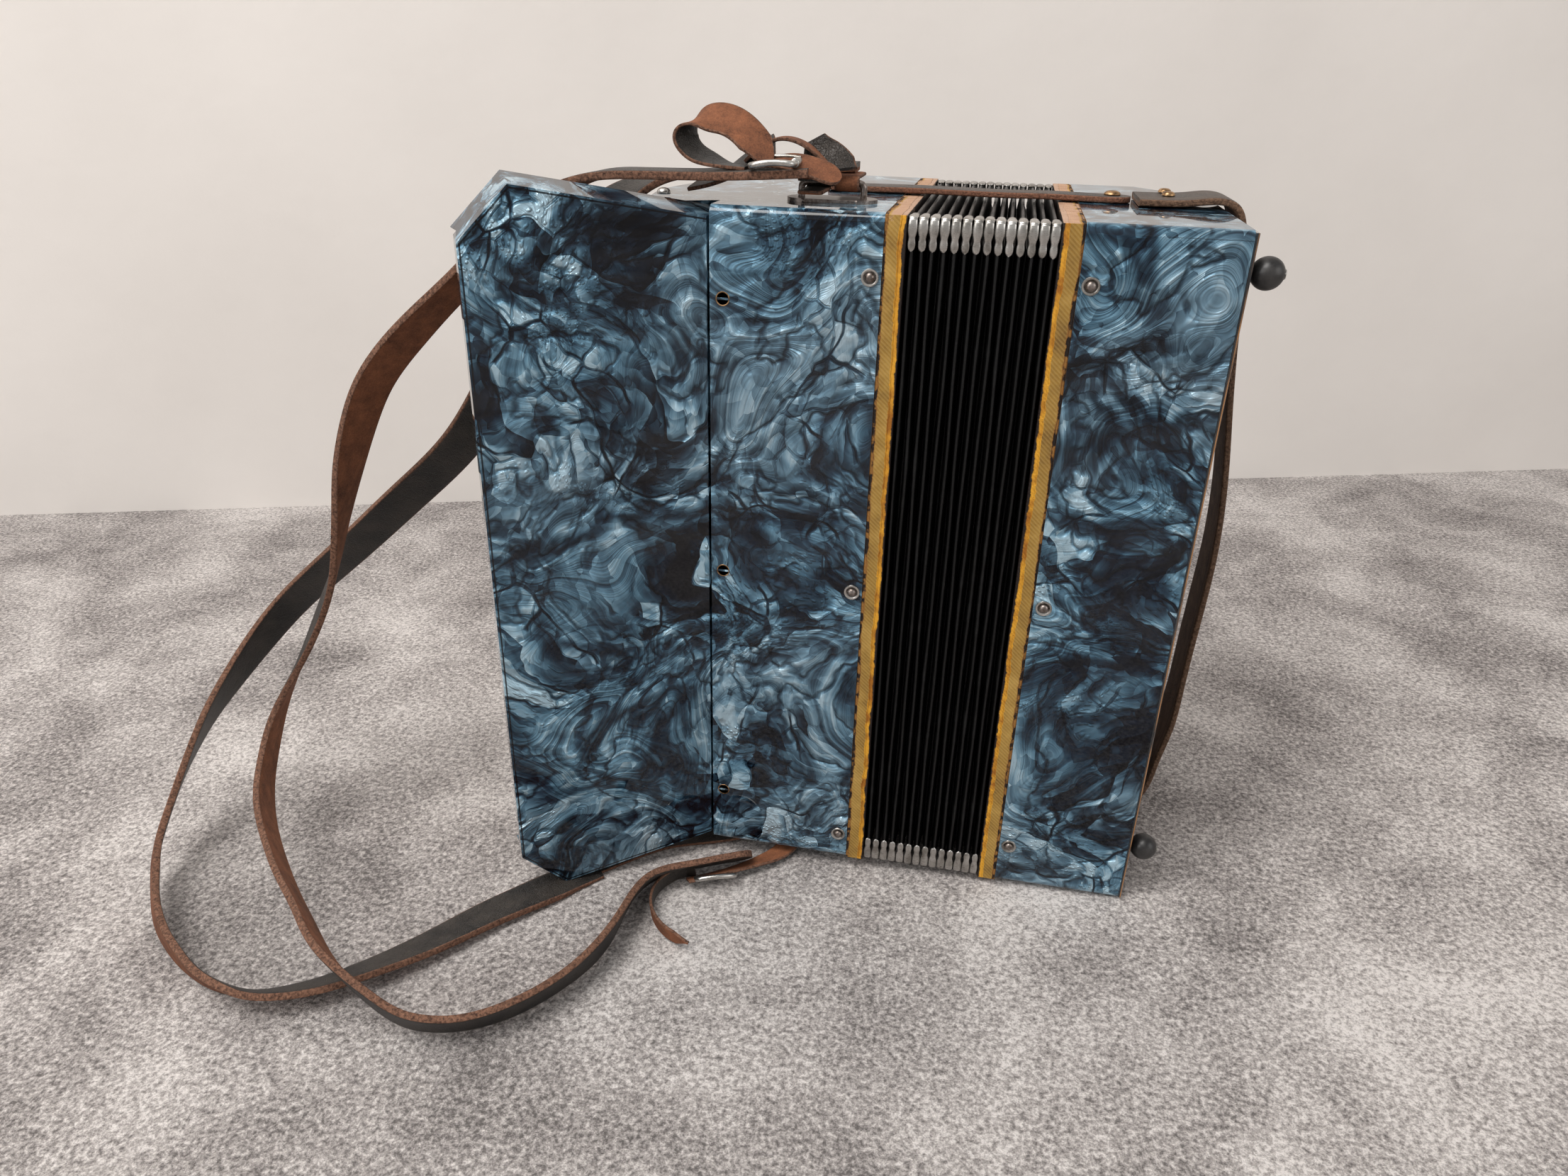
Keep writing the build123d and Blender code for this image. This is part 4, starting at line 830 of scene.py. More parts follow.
def strap_mesh(name, route, width, thick, count, tip=even_share, slim=even_share, crown=0.35, section=(18, 7)):
    """A strap carried along its route: flat faces, cut edges with slightly crowned corners, and an end that
    `tip` narrows and `slim` thins, both by shares along the way.

    UV: u is the way along, v the way across, in metres.  "lining" is 1 on the inner face, 0 on the outer one;
    "cut" is 1 on the edges."""
    centre, across, up = strap_frame(route, count)
    flat, edge = section
    s, t = np.linspace(-1, 1, flat), np.linspace(-1, 1, edge)[1:-1]
    ring = np.concatenate([np.stack([s, np.ones(flat)], 1), np.stack([np.ones(edge - 2), -t], 1),
                           np.stack([-s, -np.ones(flat)], 1), np.stack([-np.ones(edge - 2), t], 1)])
    face = np.concatenate([np.ones(flat), np.full(edge - 2, 0.5), np.zeros(flat), np.full(edge - 2, 0.5)])
    cut = np.where(face == 0.5, 1.0, 0.0)
    cut[[0, flat - 1, flat + edge - 2, 2 * flat + edge - 3]] = 1.0
    way = np.linspace(0, 1, count)
    half = tip(way) * width / 2
    aside = ring[:, 0] * (1 - crown / (width / 2) * ring[:, 1] ** 8) * half[:, None]
    above = ring[:, 1] * (1 - 0.18 * np.abs(ring[:, 0]) ** 10) * slim(way)[:, None] * thick / 2
    points = centre[:, None, :] + across[:, None, :] * aside[..., None] + up[:, None, :] * above[..., None]
    mesh = grid_mesh(name, stand(points), closed=True)
    work = bmesh.new()
    work.from_mesh(mesh)
    work.verts.ensure_lookup_table()
    for row in (0, count - 1):
        work.faces.new(work.verts[row * len(ring):(row + 1) * len(ring)])
    work.to_mesh(mesh)
    work.free()
    outward(mesh).set_sharp_from_angle(angle=math.radians(50))
    for label, values in (("lining", face), ("cut", cut)):
        layer = mesh.attributes.new(label, "FLOAT", "POINT").data
        layer.foreach_set("value", np.tile(values, count).astype(np.float32))
    vertex = np.zeros(len(mesh.loops), dtype=np.int32)
    mesh.loops.foreach_get("vertex_index", vertex)
    u = running_length(centre)[vertex // len(ring)]
    v = (np.tile(ring[:, 0] + ring[:, 1] * 0.08, count) * np.repeat(half, len(ring)))[vertex]
    mesh.uv_layers.new(name="strap").data.foreach_set("uv", (np.stack([u, v], 1) / 1000).astype(np.float32).ravel())
    return mesh


def hide_group():
    """Grained hide: small cells of two sizes with soft creases between them; the tone varies slowly."""
    tree, given, end = new_group("hide_grain", {"Vector": None, "Scale": 900.0}, ["Height", "Tone"])
    place, scale = given["Vector"], given["Scale"]
    bent = place + Place(noise_node(place, 160.0)["Color"]) * 0.004
    feed(end.inputs["Height"], step_up(cells(bent, scale), 0.0, 0.14) + step_up(cells(bent, scale * 0.3), 0.0, 0.09))
    feed(end.inputs["Tone"], noise(place, 45.0, 4.0, 0.6))
    return tree


def suede_group():
    """Suede: short fibres in all directions, darker where they lie flat and worn bright in patches."""
    tree, given, end = new_group("suede_nap", {"Vector": None}, ["Height", "Tone"])
    place = given["Vector"]
    fibre = noise(place, 1100.0, 3.0, 0.7)
    feed(end.inputs["Height"], fibre)
    feed(end.inputs["Tone"], fibre * 0.35 + noise(place, 130.0, 4.0, 0.65) * 0.45 + noise(place, 22.0) * 0.3)
    return tree


HIDE_GRAIN, SUEDE_NAP = hide_group(), suede_group()


def attribute(material, name):
    """A number that the mesh carries."""
    return Field(add_node(material.node_tree, "Attribute", {"attribute_name": name}).outputs["Fac"])


def two_layer_leather(name, outer, suede, edge):
    """Leather whose faces are told apart by the "lining" attribute and whose cut edges by "cut"; each colour
    is a dark and a light one."""
    material = new_material(name, outer[1], 0.5, Specular_IOR_Level=0.4)
    place = object_place(material)
    hide = use_group(material, HIDE_GRAIN, Vector=place, Scale=900.0)
    nap = use_group(material, SUEDE_NAP, Vector=place)
    specks = noise(place, 620.0, 3.0, 0.7)
    on_lining = step_up(attribute(material, "lining"), 0.52, 0.6)
    on_cut = step_up(attribute(material, "cut"), 0.4, 0.9)
    color = ramp(hide["Tone"], [(0.35, outer[0]), (0.62, outer[1])])
    # Painted shade: the hide's colour is pulled toward its darkest tone in the low creases of the grain.
    color = blend_colors((1.0 - step_up(hide["Height"], 0.2, 1.4)) * 0.6, color, outer[0])
    color = blend_colors(on_lining, color, ramp(nap["Tone"], [(0.38, suede[0]), (0.72, suede[1])]))
    color = blend_colors(on_cut, color, ramp(specks, [(0.34, edge[0]), (0.66, edge[1])]))
    raw = largest(on_lining, on_cut)
    height = (1.0 - raw) * hide["Height"] + raw * (nap["Height"] + specks) * 1.1
    return finish_shader(material, color, largest(hide["Tone"] * 0.25 + 0.32, raw * 0.88), height, 0.00035, 0.7)


strap_leather = two_layer_leather("shoulder_strap_leather", ((0.006, 0.0052, 0.005), (0.045, 0.037, 0.031)),
                                  ((0.06, 0.021, 0.01), (0.3, 0.112, 0.05)),
                                  ((0.045, 0.02, 0.012), (0.24, 0.12, 0.075)))
LEAN_SLOPE = RIGHTWARDS[2] / -RIGHTWARDS[0]
BASS_EDGE_X = 261.0
OVER, ALONG, UP = (0, 1, 0), (1, 0, 0), (0, 0, 1)
STRAP_W, STRAP_T, BILLET_W, BILLET_T = 25.0, 4.6, 13.0, 2.0
BRACKET_BAR = 411.0
BRACKET_TOP = BRACKET_BAR + BILLET_T + STRAP_T / 2 + 0.6


def laid(x, y, height):
    """A route point at a height above the floor under it."""
    return (x, y, -(BASS_EDGE_X - x) * LEAN_SLOPE + height)


# Each point of a route comes with the direction across the strap there.
strap_a_route = [
    ((48, 18, BRACKET_TOP), OVER), ((20, 17, BRACKET_TOP - 2), OVER), ((-14, 17, BRACKET_TOP - 3.4), OVER),
    ((-40, 13, BRACKET_TOP - 3.6), OVER), ((-60, 11, BRACKET_TOP - 5), OVER),
    ((-82, 6, 403), (0.05, 0.98, -0.1)), ((-108, -1, 384), (0.13, 0.96, -0.18)),
    ((-132, -5, 360), (0.2, 0.94, -0.24)), ((-153, -7, 341), (0.27, 0.91, -0.29)),
    ((-175, -6, 321), (0.36, 0.87, -0.33)), ((-198, -5, 295), (0.39, 0.89, -0.25)),
    ((-213, -4, 268), (0.32, 0.93, -0.15)), ((-223, -4, 243), (0.17, 0.98, -0.06)),
    ((-231, -4, 218), (-0.08, 1, 0.03)), ((-239, -4, 192), (-0.28, 0.95, 0.09)),
    ((-247, -4, 168), (-0.4, 0.91, 0.14)), ((-258, -5, 144), (-0.46, 0.87, 0.17)),
    ((-272, -7, 117), (-0.44, 0.89, 0.1)), ((-287, -10, 90), (-0.36, 0.92, -0.08)),
    ((-297, -18, 66), (-0.3, 0.82, -0.4)), ((-298, -31, 48), (-0.22, 0.66, -0.7)),
    ((-293, -48, 34), (-0.15, 0.6, -0.78)), (laid(-278, -72, 46), (-0.04, 0.52, -0.86)),
    (laid(-256, -96, 39), (0.04, 0.44, -0.9)), (laid(-236, -115, 35), (0.12, 0.37, -0.92)),
    (laid(-209, -138, 32), (0.18, 0.3, -0.94)), (laid(-184, -159, 30), (0.26, 0.27, -0.92)),
    (laid(-158, -173, 26), (0.16, 0.31, -0.93)), (laid(-141, -178, 19.5), (0, 0.37, -0.92)),
    (laid(-127, -180, 14), (-0.05, 0.42, -0.91)), (laid(-110, -180, 12.5), (-0.06, 0.48, -0.87)),
    (laid(-93, -176, 12.3), (-0.16, 0.49, -0.85)), (laid(-77, -167, 12.4), (-0.26, 0.42, -0.86)),
    (laid(-62, -153, 12.6), (-0.33, 0.32, -0.88)), (laid(-50, -136, 12.8), (-0.35, 0.24, -0.9)),
    (laid(-40, -113, 13), (-0.3, 0.13, -0.94)), (laid(-36, -90, 13), (-0.32, 0.06, -0.94)),
    (laid(-35, -67, 12.5), (-0.42, 0.12, -0.89)), (laid(-27, -44, 11.6), (-0.45, 0.4, -0.79)),
    (laid(-8, -30, 11), (-0.37, 0.59, -0.72)), (laid(11, -20.5, 11), (-0.32, 0.61, -0.72)),
    (laid(29, -12, 11), (-0.32, 0.61, -0.72))]
strap_b_route = [
    ((66, 62, BRACKET_TOP), OVER), ((40, 61, BRACKET_TOP - 0.6), OVER), ((0, 59, BRACKET_TOP - 4.5), OVER),
    ((-34, 57, 408), OVER), ((-60, 51, 399), (-0.38, 0.84, 0.38)),
    ((-86, 40, 374), (-0.68, 0.3, 0.66)), ((-116, 27, 327), (-0.76, -0.28, 0.6)),
    ((-140, 22, 284), (-0.68, -0.52, 0.52)), ((-159, 23, 258), (-0.62, -0.61, 0.49)),
    ((-183, 28, 234), (-0.6, -0.61, 0.52)), ((-214, 34, 207), (-0.59, -0.58, 0.56)),
    ((-247, 39, 178), (-0.57, -0.6, 0.56)), ((-296, 45, 136), (-0.53, -0.65, 0.54)),
    ((-323, 44, 111), (-0.36, -0.72, 0.6)), ((-341, 30, 88), (-0.09, -0.68, 0.73)),
    ((-350, 6, 69), (0.18, -0.58, 0.79)), ((-353, -15, 56), (0.35, -0.54, 0.76)),
    ((-354, -35, 42), (0.48, -0.5, 0.72)), ((-353, -56, 27), (0.57, -0.4, 0.71)),
    ((-349, -77, 14), (0.55, -0.28, 0.78)), ((-342, -98, 3), (0.47, -0.16, 0.86)),
    (laid(-332, -114, 19.5), (0.33, -0.02, 0.94)), (laid(-312, -137, 16), (0.17, 0.02, 0.98)),
    (laid(-289, -155, 13.6), (0.01, -0.07, 1)), (laid(-266, -168, 13), (-0.1, -0.2, 0.97)),
    (laid(-249, -175, 12.6), (-0.12, -0.38, 0.91)), (laid(-234, -178, 12), (-0.02, -0.55, 0.83)),
    (laid(-220, -178, 10.6), (0.17, -0.68, 0.7)), (laid(-204, -173, 9.4), (0.33, -0.74, 0.59)),
    (laid(-188, -164, 8.5), (0.46, -0.73, 0.5)), (laid(-172, -151, 7.9), (0.58, -0.68, 0.44)),
    (laid(-158, -137, 7), (0.67, -0.63, 0.37)), (laid(-144, -121, 6), (0.73, -0.61, 0.28)),
    (laid(-131, -104, 5.2), (0.75, -0.62, 0.2)), (laid(-117, -86, 4.6), (0.74, -0.66, 0.13)),
    (laid(-105, -72.5, 4.1), (0.7, -0.71, 0.08)), (laid(-96, -62, 3.4), (0.62, -0.78, 0.04)),
    (laid(-88, -52.5, 2.4), (0.58, -0.82, 0.02)), (laid(-79, -43.5, 1.7), (0.5, -0.86, 0)),
    (laid(-68, -34, 1.4), (0.45, -0.89, 0))]


def leather_strap(name, route, width, thick, count, replaced, body="treble_side", material=strap_leather,
                  slot="black_leather", **more):
    """A strap of one leather that rides on a body in place of a CAD node."""
    piece = add_object(strap_mesh(name, route, width, thick, count, **more), material)
    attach(piece, body)
    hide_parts(replaced)
    return piece


def rounded_end(length, width, start=False):
    """A tip that makes a strap's end half round, and its start if asked: the share of the half width at a way x
    from the end is the square root of 1 - (1 - x / r)^2, where r is half the width."""
    def tip(way):
        from_end = np.minimum(way, 1 - way) if start else 1 - way
        inside = np.clip(1 - from_end * length / (0.5 * width), 0, 1)
        return np.sqrt(np.clip(1 - inside ** 2, 0.0025, 1))
    return tip


leather_strap("shoulder_strap_a_leather", strap_a_route, STRAP_W, STRAP_T, 520, "shoulder_strap_a",
              tip=rounded_end(1240, STRAP_W))
leather_strap("shoulder_strap_b_leather", strap_b_route, STRAP_W, STRAP_T, 520, "shoulder_strap_b",
              tip=lambda way: 1 - 0.35 * np.clip((way - 0.972) / 0.028, 0, 1),
              slim=lambda way: 1 - 0.55 * np.clip((way - 0.965) / 0.03, 0, 1))


# ---- nails and screws ---------------------------------------------------------------------------
# The bellows frames are held by iron nails in nickel cup washers, the keyboard by slotted brass screws along
# the seam, and the grille by a domed nickel pin at each end.
steel = new_material("bright_steel", (0.5, 0.49, 0.47), 0.3, Metallic=1.0)
place = object_place(steel)
scuff = noise(place, 260.0, 4.0, 0.65)
color = ramp(noise(place, 70.0, 4.0), [(0.3, (0.2, 0.19, 0.175)), (0.6, (0.5, 0.49, 0.465))])
finish_shader(steel, color, scuff * 0.35 + 0.14, scuff, 0.0001, 0.3)

brass = new_material("old_brass", (0.45, 0.3, 0.12), 0.35, Metallic=1.0)
spots = noise(object_place(brass), 320.0, 4.0, 0.6)
color = ramp(spots, [(0.34, (0.12, 0.07, 0.035)), (0.6, (0.5, 0.31, 0.16))])
finish_shader(brass, color, spots * 0.3 + 0.2, spots, 0.0001, 0.4)

iron = new_material("nail_head_iron", (0.2, 0.18, 0.17), 0.35, Metallic=1.0)
spots = noise(object_place(iron), 500.0, 3.0, 0.6)
color = ramp(spots, [(0.3, (0.1, 0.075, 0.06)), (0.7, (0.34, 0.3, 0.28))])
finish_shader(iron, color, spots * 0.3 + 0.2, spots, 0.0001, 0.4)


def turned(profile, at, axis, count=32):
    """A turned shape: radius and height pairs along its outline, swept round an axis that stands at a point."""
    profile = np.array(profile, float)
    axis = unit(np.array(axis, float))
    side = unit(np.cross(axis, [0.31, 0.95, 0.11] if abs(axis[1]) < 0.9 else [1.0, 0.0, 0.0]))
    angle = np.linspace(0, 2 * math.pi, count, endpoint=False)[:, None]
    ring = side * np.cos(angle) + np.cross(axis, side) * np.sin(angle)
    return np.array(at, float) + profile[:, None, :1] * ring[None] + profile[:, None, 1:] * axis


def fitting(name, shapes, material, body, node, sharp=40):
    """Turned or swept shapes joined to one object that rides on a body in place of a CAD node."""
    mesh = joined_grids(name, shapes)
    mesh.set_sharp_from_angle(angle=math.radians(sharp))
    piece = add_object(mesh, material)
    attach(piece, body)
    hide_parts(node)
    frame_slot(node)


CUP = [(3.9, -0.15), (4.45, 0.1), (4.55, 0.45), (4.35, 0.85), (3.95, 1.0), (3.5, 0.86), (3.05, 0.5), (2.7, 0.3),
       (1.4, 0.25)]
NAIL = [(1.2, 0.2), (2.35, 0.35), (2.6, 0.75), (2.5, 1.3), (2.1, 1.85), (1.4, 2.3), (0.7, 2.5), (0.05, 2.55)]
for side, pins in (("treble", TREBLE_PINS), ("bass", BASS_PINS)):
    spots = [((x, y, z), (0, way, 0)) for x, z in pins for y, way in ((0.0, -1), (DEPTH, 1))]
    for name, profile, metal in (("cups", CUP, nickel), ("nails", NAIL, iron)):
        fitting(f"{side}_pin_{name}", [turned(profile, *spot) for spot in spots], metal, side + "_side",
                side + "_fasteners")

dressed("treble_fasteners", "treble_side", [brass], 0.15, 2, name="seam_screws", shortest=0.5,
        keep=lambda middle: (middle[:, 0] > 0) & (middle[:, 0] < 20) & (middle[:, 1] < 10))
SCREW_RIM = [(3.1, 0.9), (3.2, 0.0), (3.45, -0.12), (3.75, -0.1), (3.9, 0.15)]
fitting("seam_screw_rims", [turned(SCREW_RIM, (x, 0, z), (0, 1, 0)) for x, z in SEAM_SCREWS], brass,
        "treble_side", "treble_fasteners")
DOME = [(3.6, 0.0), (3.75, 0.6), (3.6, 1.5), (3.1, 2.3), (2.3, 2.9), (1.2, 3.2), (0.05, 3.3)]
fitting("grille_pins", [turned(DOME, (-36.0, 40.0, z), (0, 0, way)) for z, way in ((0.0, -1), (BODY_H, 1))], nickel,
        "treble_side", "treble_fasteners")


# ---- feet ---------------------------------------------------------------------------------------
# Black rubber balls on the bass end, dusty and scuffed, each one held by a slotted steel screw.
rubber = new_material("foot_rubber", (0.016, 0.015, 0.015), 0.42, Specular_IOR_Level=0.5)
worn = noise(object_place(rubber), 110.0, 4.0, 0.6)
color = ramp(worn, [(0.35, (0.008, 0.0075, 0.008)), (0.65, (0.04, 0.038, 0.037))])
finish_shader(rubber, color, worn * 0.35 + 0.22, worn, 0.0004, 0.35)
FOOT_SCREW_X = END_X + 15.9
dressed("bass_feet", "bass_side", [rubber, steel], 0.0, 1, lambda middle, normal: middle[:, 0] > FOOT_SCREW_X)


# ---- bass end -----------------------------------------------------------------------------------
# A black celluloid plate closes the bass end; a thin line of wood is let in along its edge.
end_black = new_material("end_plate_celluloid", (0.008, 0.009, 0.011), 0.2, Coat_Weight=1.0, Coat_Roughness=0.03)
x_mm, y_mm, z_mm, place = axes_of(end_black)
flat_face = step_up(y_mm, 1.0, 1.4) * (1.0 - step_up(z_mm, BODY_H - 1.6, BODY_H - 1.1))
line = band(x_mm, 262.25, 263.4, 0.12) * step_up(noise(place, 30.0, 3.0), 0.3, 0.55) * (1.0 - flat_face)
smoke = ramp(noise(place, 14.0, 4.0, 0.6, 0.6), [(0.35, (0.004, 0.005, 0.007)), (0.7, (0.018, 0.026, 0.034))])
finish_shader(end_black, blend_colors(line, smoke, (0.38, 0.17, 0.05)), line * 0.3 + 0.16)
dressed("bass_end_plate", "bass_side", [end_black], 0.35, 2)


# ---- strap brackets -----------------------------------------------------------------------------
# Bent steel staples on oval plates, screwed to both ends of the treble casing.
dressed("strap_brackets", "treble_side", [iron], 0.35, 2, shortest=3.0)


# ---- hand strap ---------------------------------------------------------------------------------
# Two layers of thick brown leather, screwed to the bass casing's top and foot and bowed off its end.
def worn_leather(name, face, edge, line_at):
    """Leather worn dark and shiny on its faces, raw on its cut edges, with a line scored along each side at a
    way from the middle; each colour is a dark and a light one."""
    material = new_material(name, face[1], 0.5, Specular_IOR_Level=0.45)
    place = object_place(material)
    hide = use_group(material, HIDE_GRAIN, Vector=place, Scale=700.0)
    nap = use_group(material, SUEDE_NAP, Vector=place)
    worn = noise(place, 30.0, 4.0, 0.6)
    specks = noise(place, 620.0, 3.0, 0.7)
    on_lining = step_up(1.0 - attribute(material, "lining"), 0.52, 0.6)
    on_cut = step_up(attribute(material, "cut"), 0.4, 0.9)
    color = ramp(hide["Tone"] * 0.5 + worn * 0.5, [(0.38, face[0]), (0.62, face[1])])
    suede = ramp(nap["Tone"], [(0.38, (0.09, 0.048, 0.03)), (0.7, (0.28, 0.16, 0.105))])
    color = blend_colors(on_lining, color, suede)
    uv = add_node(material.node_tree, "UVMap", {"uv_map": "strap"}).outputs["UV"]
    across = abs(Field(add_node(material.node_tree, "SeparateXYZ", None, Vector=Field(uv)).outputs["Y"]))
    groove = 1.0 - step_up(abs(across - line_at), 0.0001, 0.0005)
    color = blend_colors(groove * 0.75, color, face[0])
    color = blend_colors(on_cut, color, ramp(specks, [(0.34, edge[0]), (0.66, edge[1])]))
    raw = largest(on_lining, on_cut)
    height = hide["Height"] * 0.5 + groove * -1.4 + raw * specks
    return finish_shader(material, color, largest(worn * 0.3 + 0.3, raw * 0.85), height, 0.0005, 0.7)


hand_leather = worn_leather("hand_strap_leather", ((0.02, 0.0145, 0.011), (0.085, 0.055, 0.038)),
                            ((0.06, 0.03, 0.016), (0.2, 0.115, 0.07)), 0.0185)
HAND_W, HAND_T, HAND_Y, HAND_BOW = 46.0, 4.0, 104.0, 29.2
HAND_SLANT, HAND_TURN = 15.0, (math.sin(math.radians(3)), math.cos(math.radians(3)), 0)
lift = BODY_H + HAND_T / 2 + 0.3
hand_route = [((BASS_X + along, HAND_Y, lift + rise), OVER) for along, rise in
              ((31, 0), (41, 0.1), (51, 0.3), (61, 1.2), (71, 2.2))] + [((END_X + 3.6, HAND_Y, BODY_H + 1.2), OVER)]
for share, z, across in ((0.25, 394, OVER), (0.35, 380, OVER), (0.45, 362, OVER), (0.55, 341, HAND_TURN),
                         (0.63, 318, HAND_TURN), (0.74, 293, HAND_TURN), (0.87, 264, HAND_TURN),
                         (0.98, 228, HAND_TURN), (1, 200, HAND_TURN), (0.95, 164, HAND_TURN),
                         (0.88, 116, HAND_TURN), (0.82, 86, HAND_TURN), (0.67, 62, HAND_TURN), (0.48, 38, OVER),
                         (0.24, 24, OVER)):
    slant = HAND_SLANT * min(1, max(0, (BODY_H * 0.75 - z) / (BODY_H * 0.6)))
    hand_route.append(((END_X + HAND_BOW * share, HAND_Y - slant, z), across))
hand_route += [((END_X + out, HAND_Y - HAND_SLANT, z), OVER) for out, z in ((2.9, 14), (2.3, 5))]
leather_strap("hand_strap", hand_route, HAND_W, HAND_T, 300, "bass_strap", "bass_side", hand_leather,
              "brown_leather", crown=0.5)


# ---- bellows tab --------------------------------------------------------------------------------
# One strip of harder leather, screwed to the bass side, that holds the bellows shut on a brass stud.
tab_leather = worn_leather("bellows_tab_leather", ((0.018, 0.014, 0.0125), (0.075, 0.055, 0.044)),
                           ((0.1, 0.04, 0.022), (0.27, 0.12, 0.07)), 0.0078)
TAB_Y, TAB_W, TAB_T, TAB_X, STUD_X = 102.0, 20.0, 3.4, 44.0, BASS_X + 18.0
tab_route = [((x, TAB_Y, BODY_H + 0.3 + TAB_T / 2 + rise), OVER) for x, rise in
             ((TAB_X, 0.1), (60, 0.0), (80, 0.2), (96, 0.35), (120, 0.15), (150, 0.1), (176, 0.35), (190, 0.1),
              (203, 0), (STUD_X + TAB_W / 2, 0))]
leather_strap("bellows_tab", tab_route, TAB_W, TAB_T, 200, "bellows_strap", "bass_side", tab_leather,
              frame_slot("bellows_strap"), tip=rounded_end(169, TAB_W, start=True))


# ---- stud and hand strap screws -----------------------------------------------------------------
# Turned brass: the stud that the tab is pushed over, and two dome-headed screws on top of the hand strap.
STUD = [(2.0, -1.2), (2.0, 3.6), (3.2, 3.75), (4.5, 3.95), (4.6, 4.35), (4.2, 5.1), (3.3, 5.75), (1.9, 6.15),
        (0.05, 6.25)]
fitting("tab_stud", [turned(STUD, (STUD_X, TAB_Y, BODY_H), UP)], brass, "bass_side", "bass_fasteners")
HAND_SCREW = [(1.5, -4.0), (1.5, 4.6), (3.3, 4.75), (3.6, 5.0), (3.5, 5.7), (3.0, 6.4), (2.1, 6.9), (1.0, 7.1),
              (0.05, 7.15)]
fitting("hand_strap_screws", [turned(HAND_SCREW, (BASS_X + 47.5, y, BODY_H), UP) for y in (101.0, 119.0)], brass,
        "bass_side", "bass_fasteners")


# ---- strap ends at the brackets -----------------------------------------------------------------
# Thin billets, loops round the bracket bars, a curled billet end under a keeper, and a loose tail below.
curl_route = [((15, 22, BRACKET_TOP + 0.4), OVER), ((4, 22, BRACKET_TOP + 1.0), OVER),
              ((-7, 23, BRACKET_TOP + 4), (0.1, 0.97, 0.2)), ((-15, 24, BRACKET_TOP + 8), (0.25, 0.94, 0.2)),
              ((-18.5, 24, BRACKET_TOP + 14.5), (0.38, 0.9, 0.12)), ((-14, 24, BRACKET_TOP + 21), (0.3, 0.88, 0.3)),
              ((-4, 24, BRACKET_TOP + 23.5), (0.1, 0.75, 0.6)), ((7, 22, BRACKET_TOP + 21.5), (0.4, 0.72, 0.55)),
              ((16, 19, BRACKET_TOP + 16), (0.6, 0.72, 0.35)), ((23, 15, BRACKET_TOP + 9), (0.6, 0.75, 0.3)),
              ((26.5, 12, BRACKET_TOP + 4.4), (0.6, 0.75, 0.3))]
leather_strap("strap_a_curl", curl_route, 20.0, 2.0, 220, "shoulder_strap_a",
              tip=lambda way: np.clip(0.45 + (1 - way) * 4.5, 0, 1))
arch_route = [((12, 33, BRACKET_TOP + 3), OVER), ((20, 33, BRACKET_TOP + 10), OVER),
              ((29, 34, BRACKET_TOP + 14), OVER), ((38, 36, BRACKET_TOP + 13), OVER),
              ((47, 38, BRACKET_TOP + 8), OVER), ((53, 39, BRACKET_TOP + 3.4), OVER)]
leather_strap("strap_a_keeper", arch_route, 13.0, 2.0, 120, "shoulder_strap_a")
across = (-0.4, 0.9, 0)
slot_z = -(1.8 + 0.3 + BILLET_T / 2)
low_a = [(laid(-7, -38, 5.4), (-0.25, 0.8, -0.5)), (laid(12, -27, 5.4), (-0.25, 0.8, -0.5)),
         (laid(34, -10, 4.4), (-0.5, 0.8, -0.3)),
         (laid(47, 6, 3.6), (-0.9, 0.3, 0)), ((51.5, 26, slot_z - 0.6), (-1, 0, 0)), ((51.5, 36, slot_z), (-1, 0, 0)),
         ((51.5, 46, slot_z), (-1, 0, 0)), ((51.5, 58, slot_z), (-1, 0, 0))]
leather_strap("strap_a_billet", low_a, BILLET_W, BILLET_T, 120, "shoulder_strap_a")
side = (0, -0.2, 0.98)
tail_route = [(laid(-4, -31, 8.5), side), (laid(-12, -33.5, 8), side), (laid(-19, -39.5, 7), side),
              (laid(-24, -51, 7), side), (laid(-22.5, -65, 7), side), (laid(-15, -78, 7), side),
              (laid(-4, -87, 7), side), (laid(9, -92, 7), side)]
leather_strap("strap_a_tail", tail_route, BILLET_W - 2, BILLET_T, 160, "shoulder_strap_a",
              tip=lambda way: np.clip((1 - way) * 9.0, 0.12, 1))
across = (0.5, -0.85, 0)
low_b = [(laid(-92, -52.5, 1.35), across), (laid(-82, -42.5, 1.35), across),
         (laid(-70, -31.5, 1.35), across), (laid(-54, -16, 1.35), across), (laid(-32, 1, 1.5), (0.42, -0.9, 0)),
         (laid(-8, 10, 2), (0.4, -0.9, 0)), (laid(12, 17, 3), (0.55, -0.82, 0)), (laid(28, 24, 5), (0.8, -0.6, 0)),
         ((36.5, 33, slot_z - 0.4), ALONG), ((36.5, 42, slot_z), ALONG), ((36.5, 50, slot_z), ALONG),
         ((36.5, 58, slot_z), ALONG)]
leather_strap("strap_b_billet", low_b, BILLET_W, BILLET_T, 160, "shoulder_strap_b")
lie = BRACKET_TOP + STRAP_T / 2 + BILLET_T / 2 + 0.1
raised_route = [((56, 32, lie - 4), (0.98, -0.05, -0.2)), ((54, 35, lie - 2), (0.98, -0.1, -0.2)),
                ((51, 39, lie + 2), (0.98, -0.2, -0.15)), ((48, 42, lie + 6), (0.98, -0.2, -0.1)),
                ((45.5, 44, lie + 10.5), (0.98, -0.2, 0))]
leather_strap("strap_b_raised_tip", raised_route, 30.0, 2.4, 80, "shoulder_strap_b",
              tip=lambda way: np.clip(0.4 + (1 - way) * 0.8, 0, 1))
cross_route = [((-18, 36, 405.5), (-0.35, -0.9, -0.2)), ((-6, 35, 409), (-0.3, -0.9, -0.3)),
               ((6, 34, 415), (-0.2, -0.85, -0.45)), ((17, 34, 422), (-0.1, -0.85, -0.5)),
               ((26, 34, 427), (0, -0.85, -0.5))]
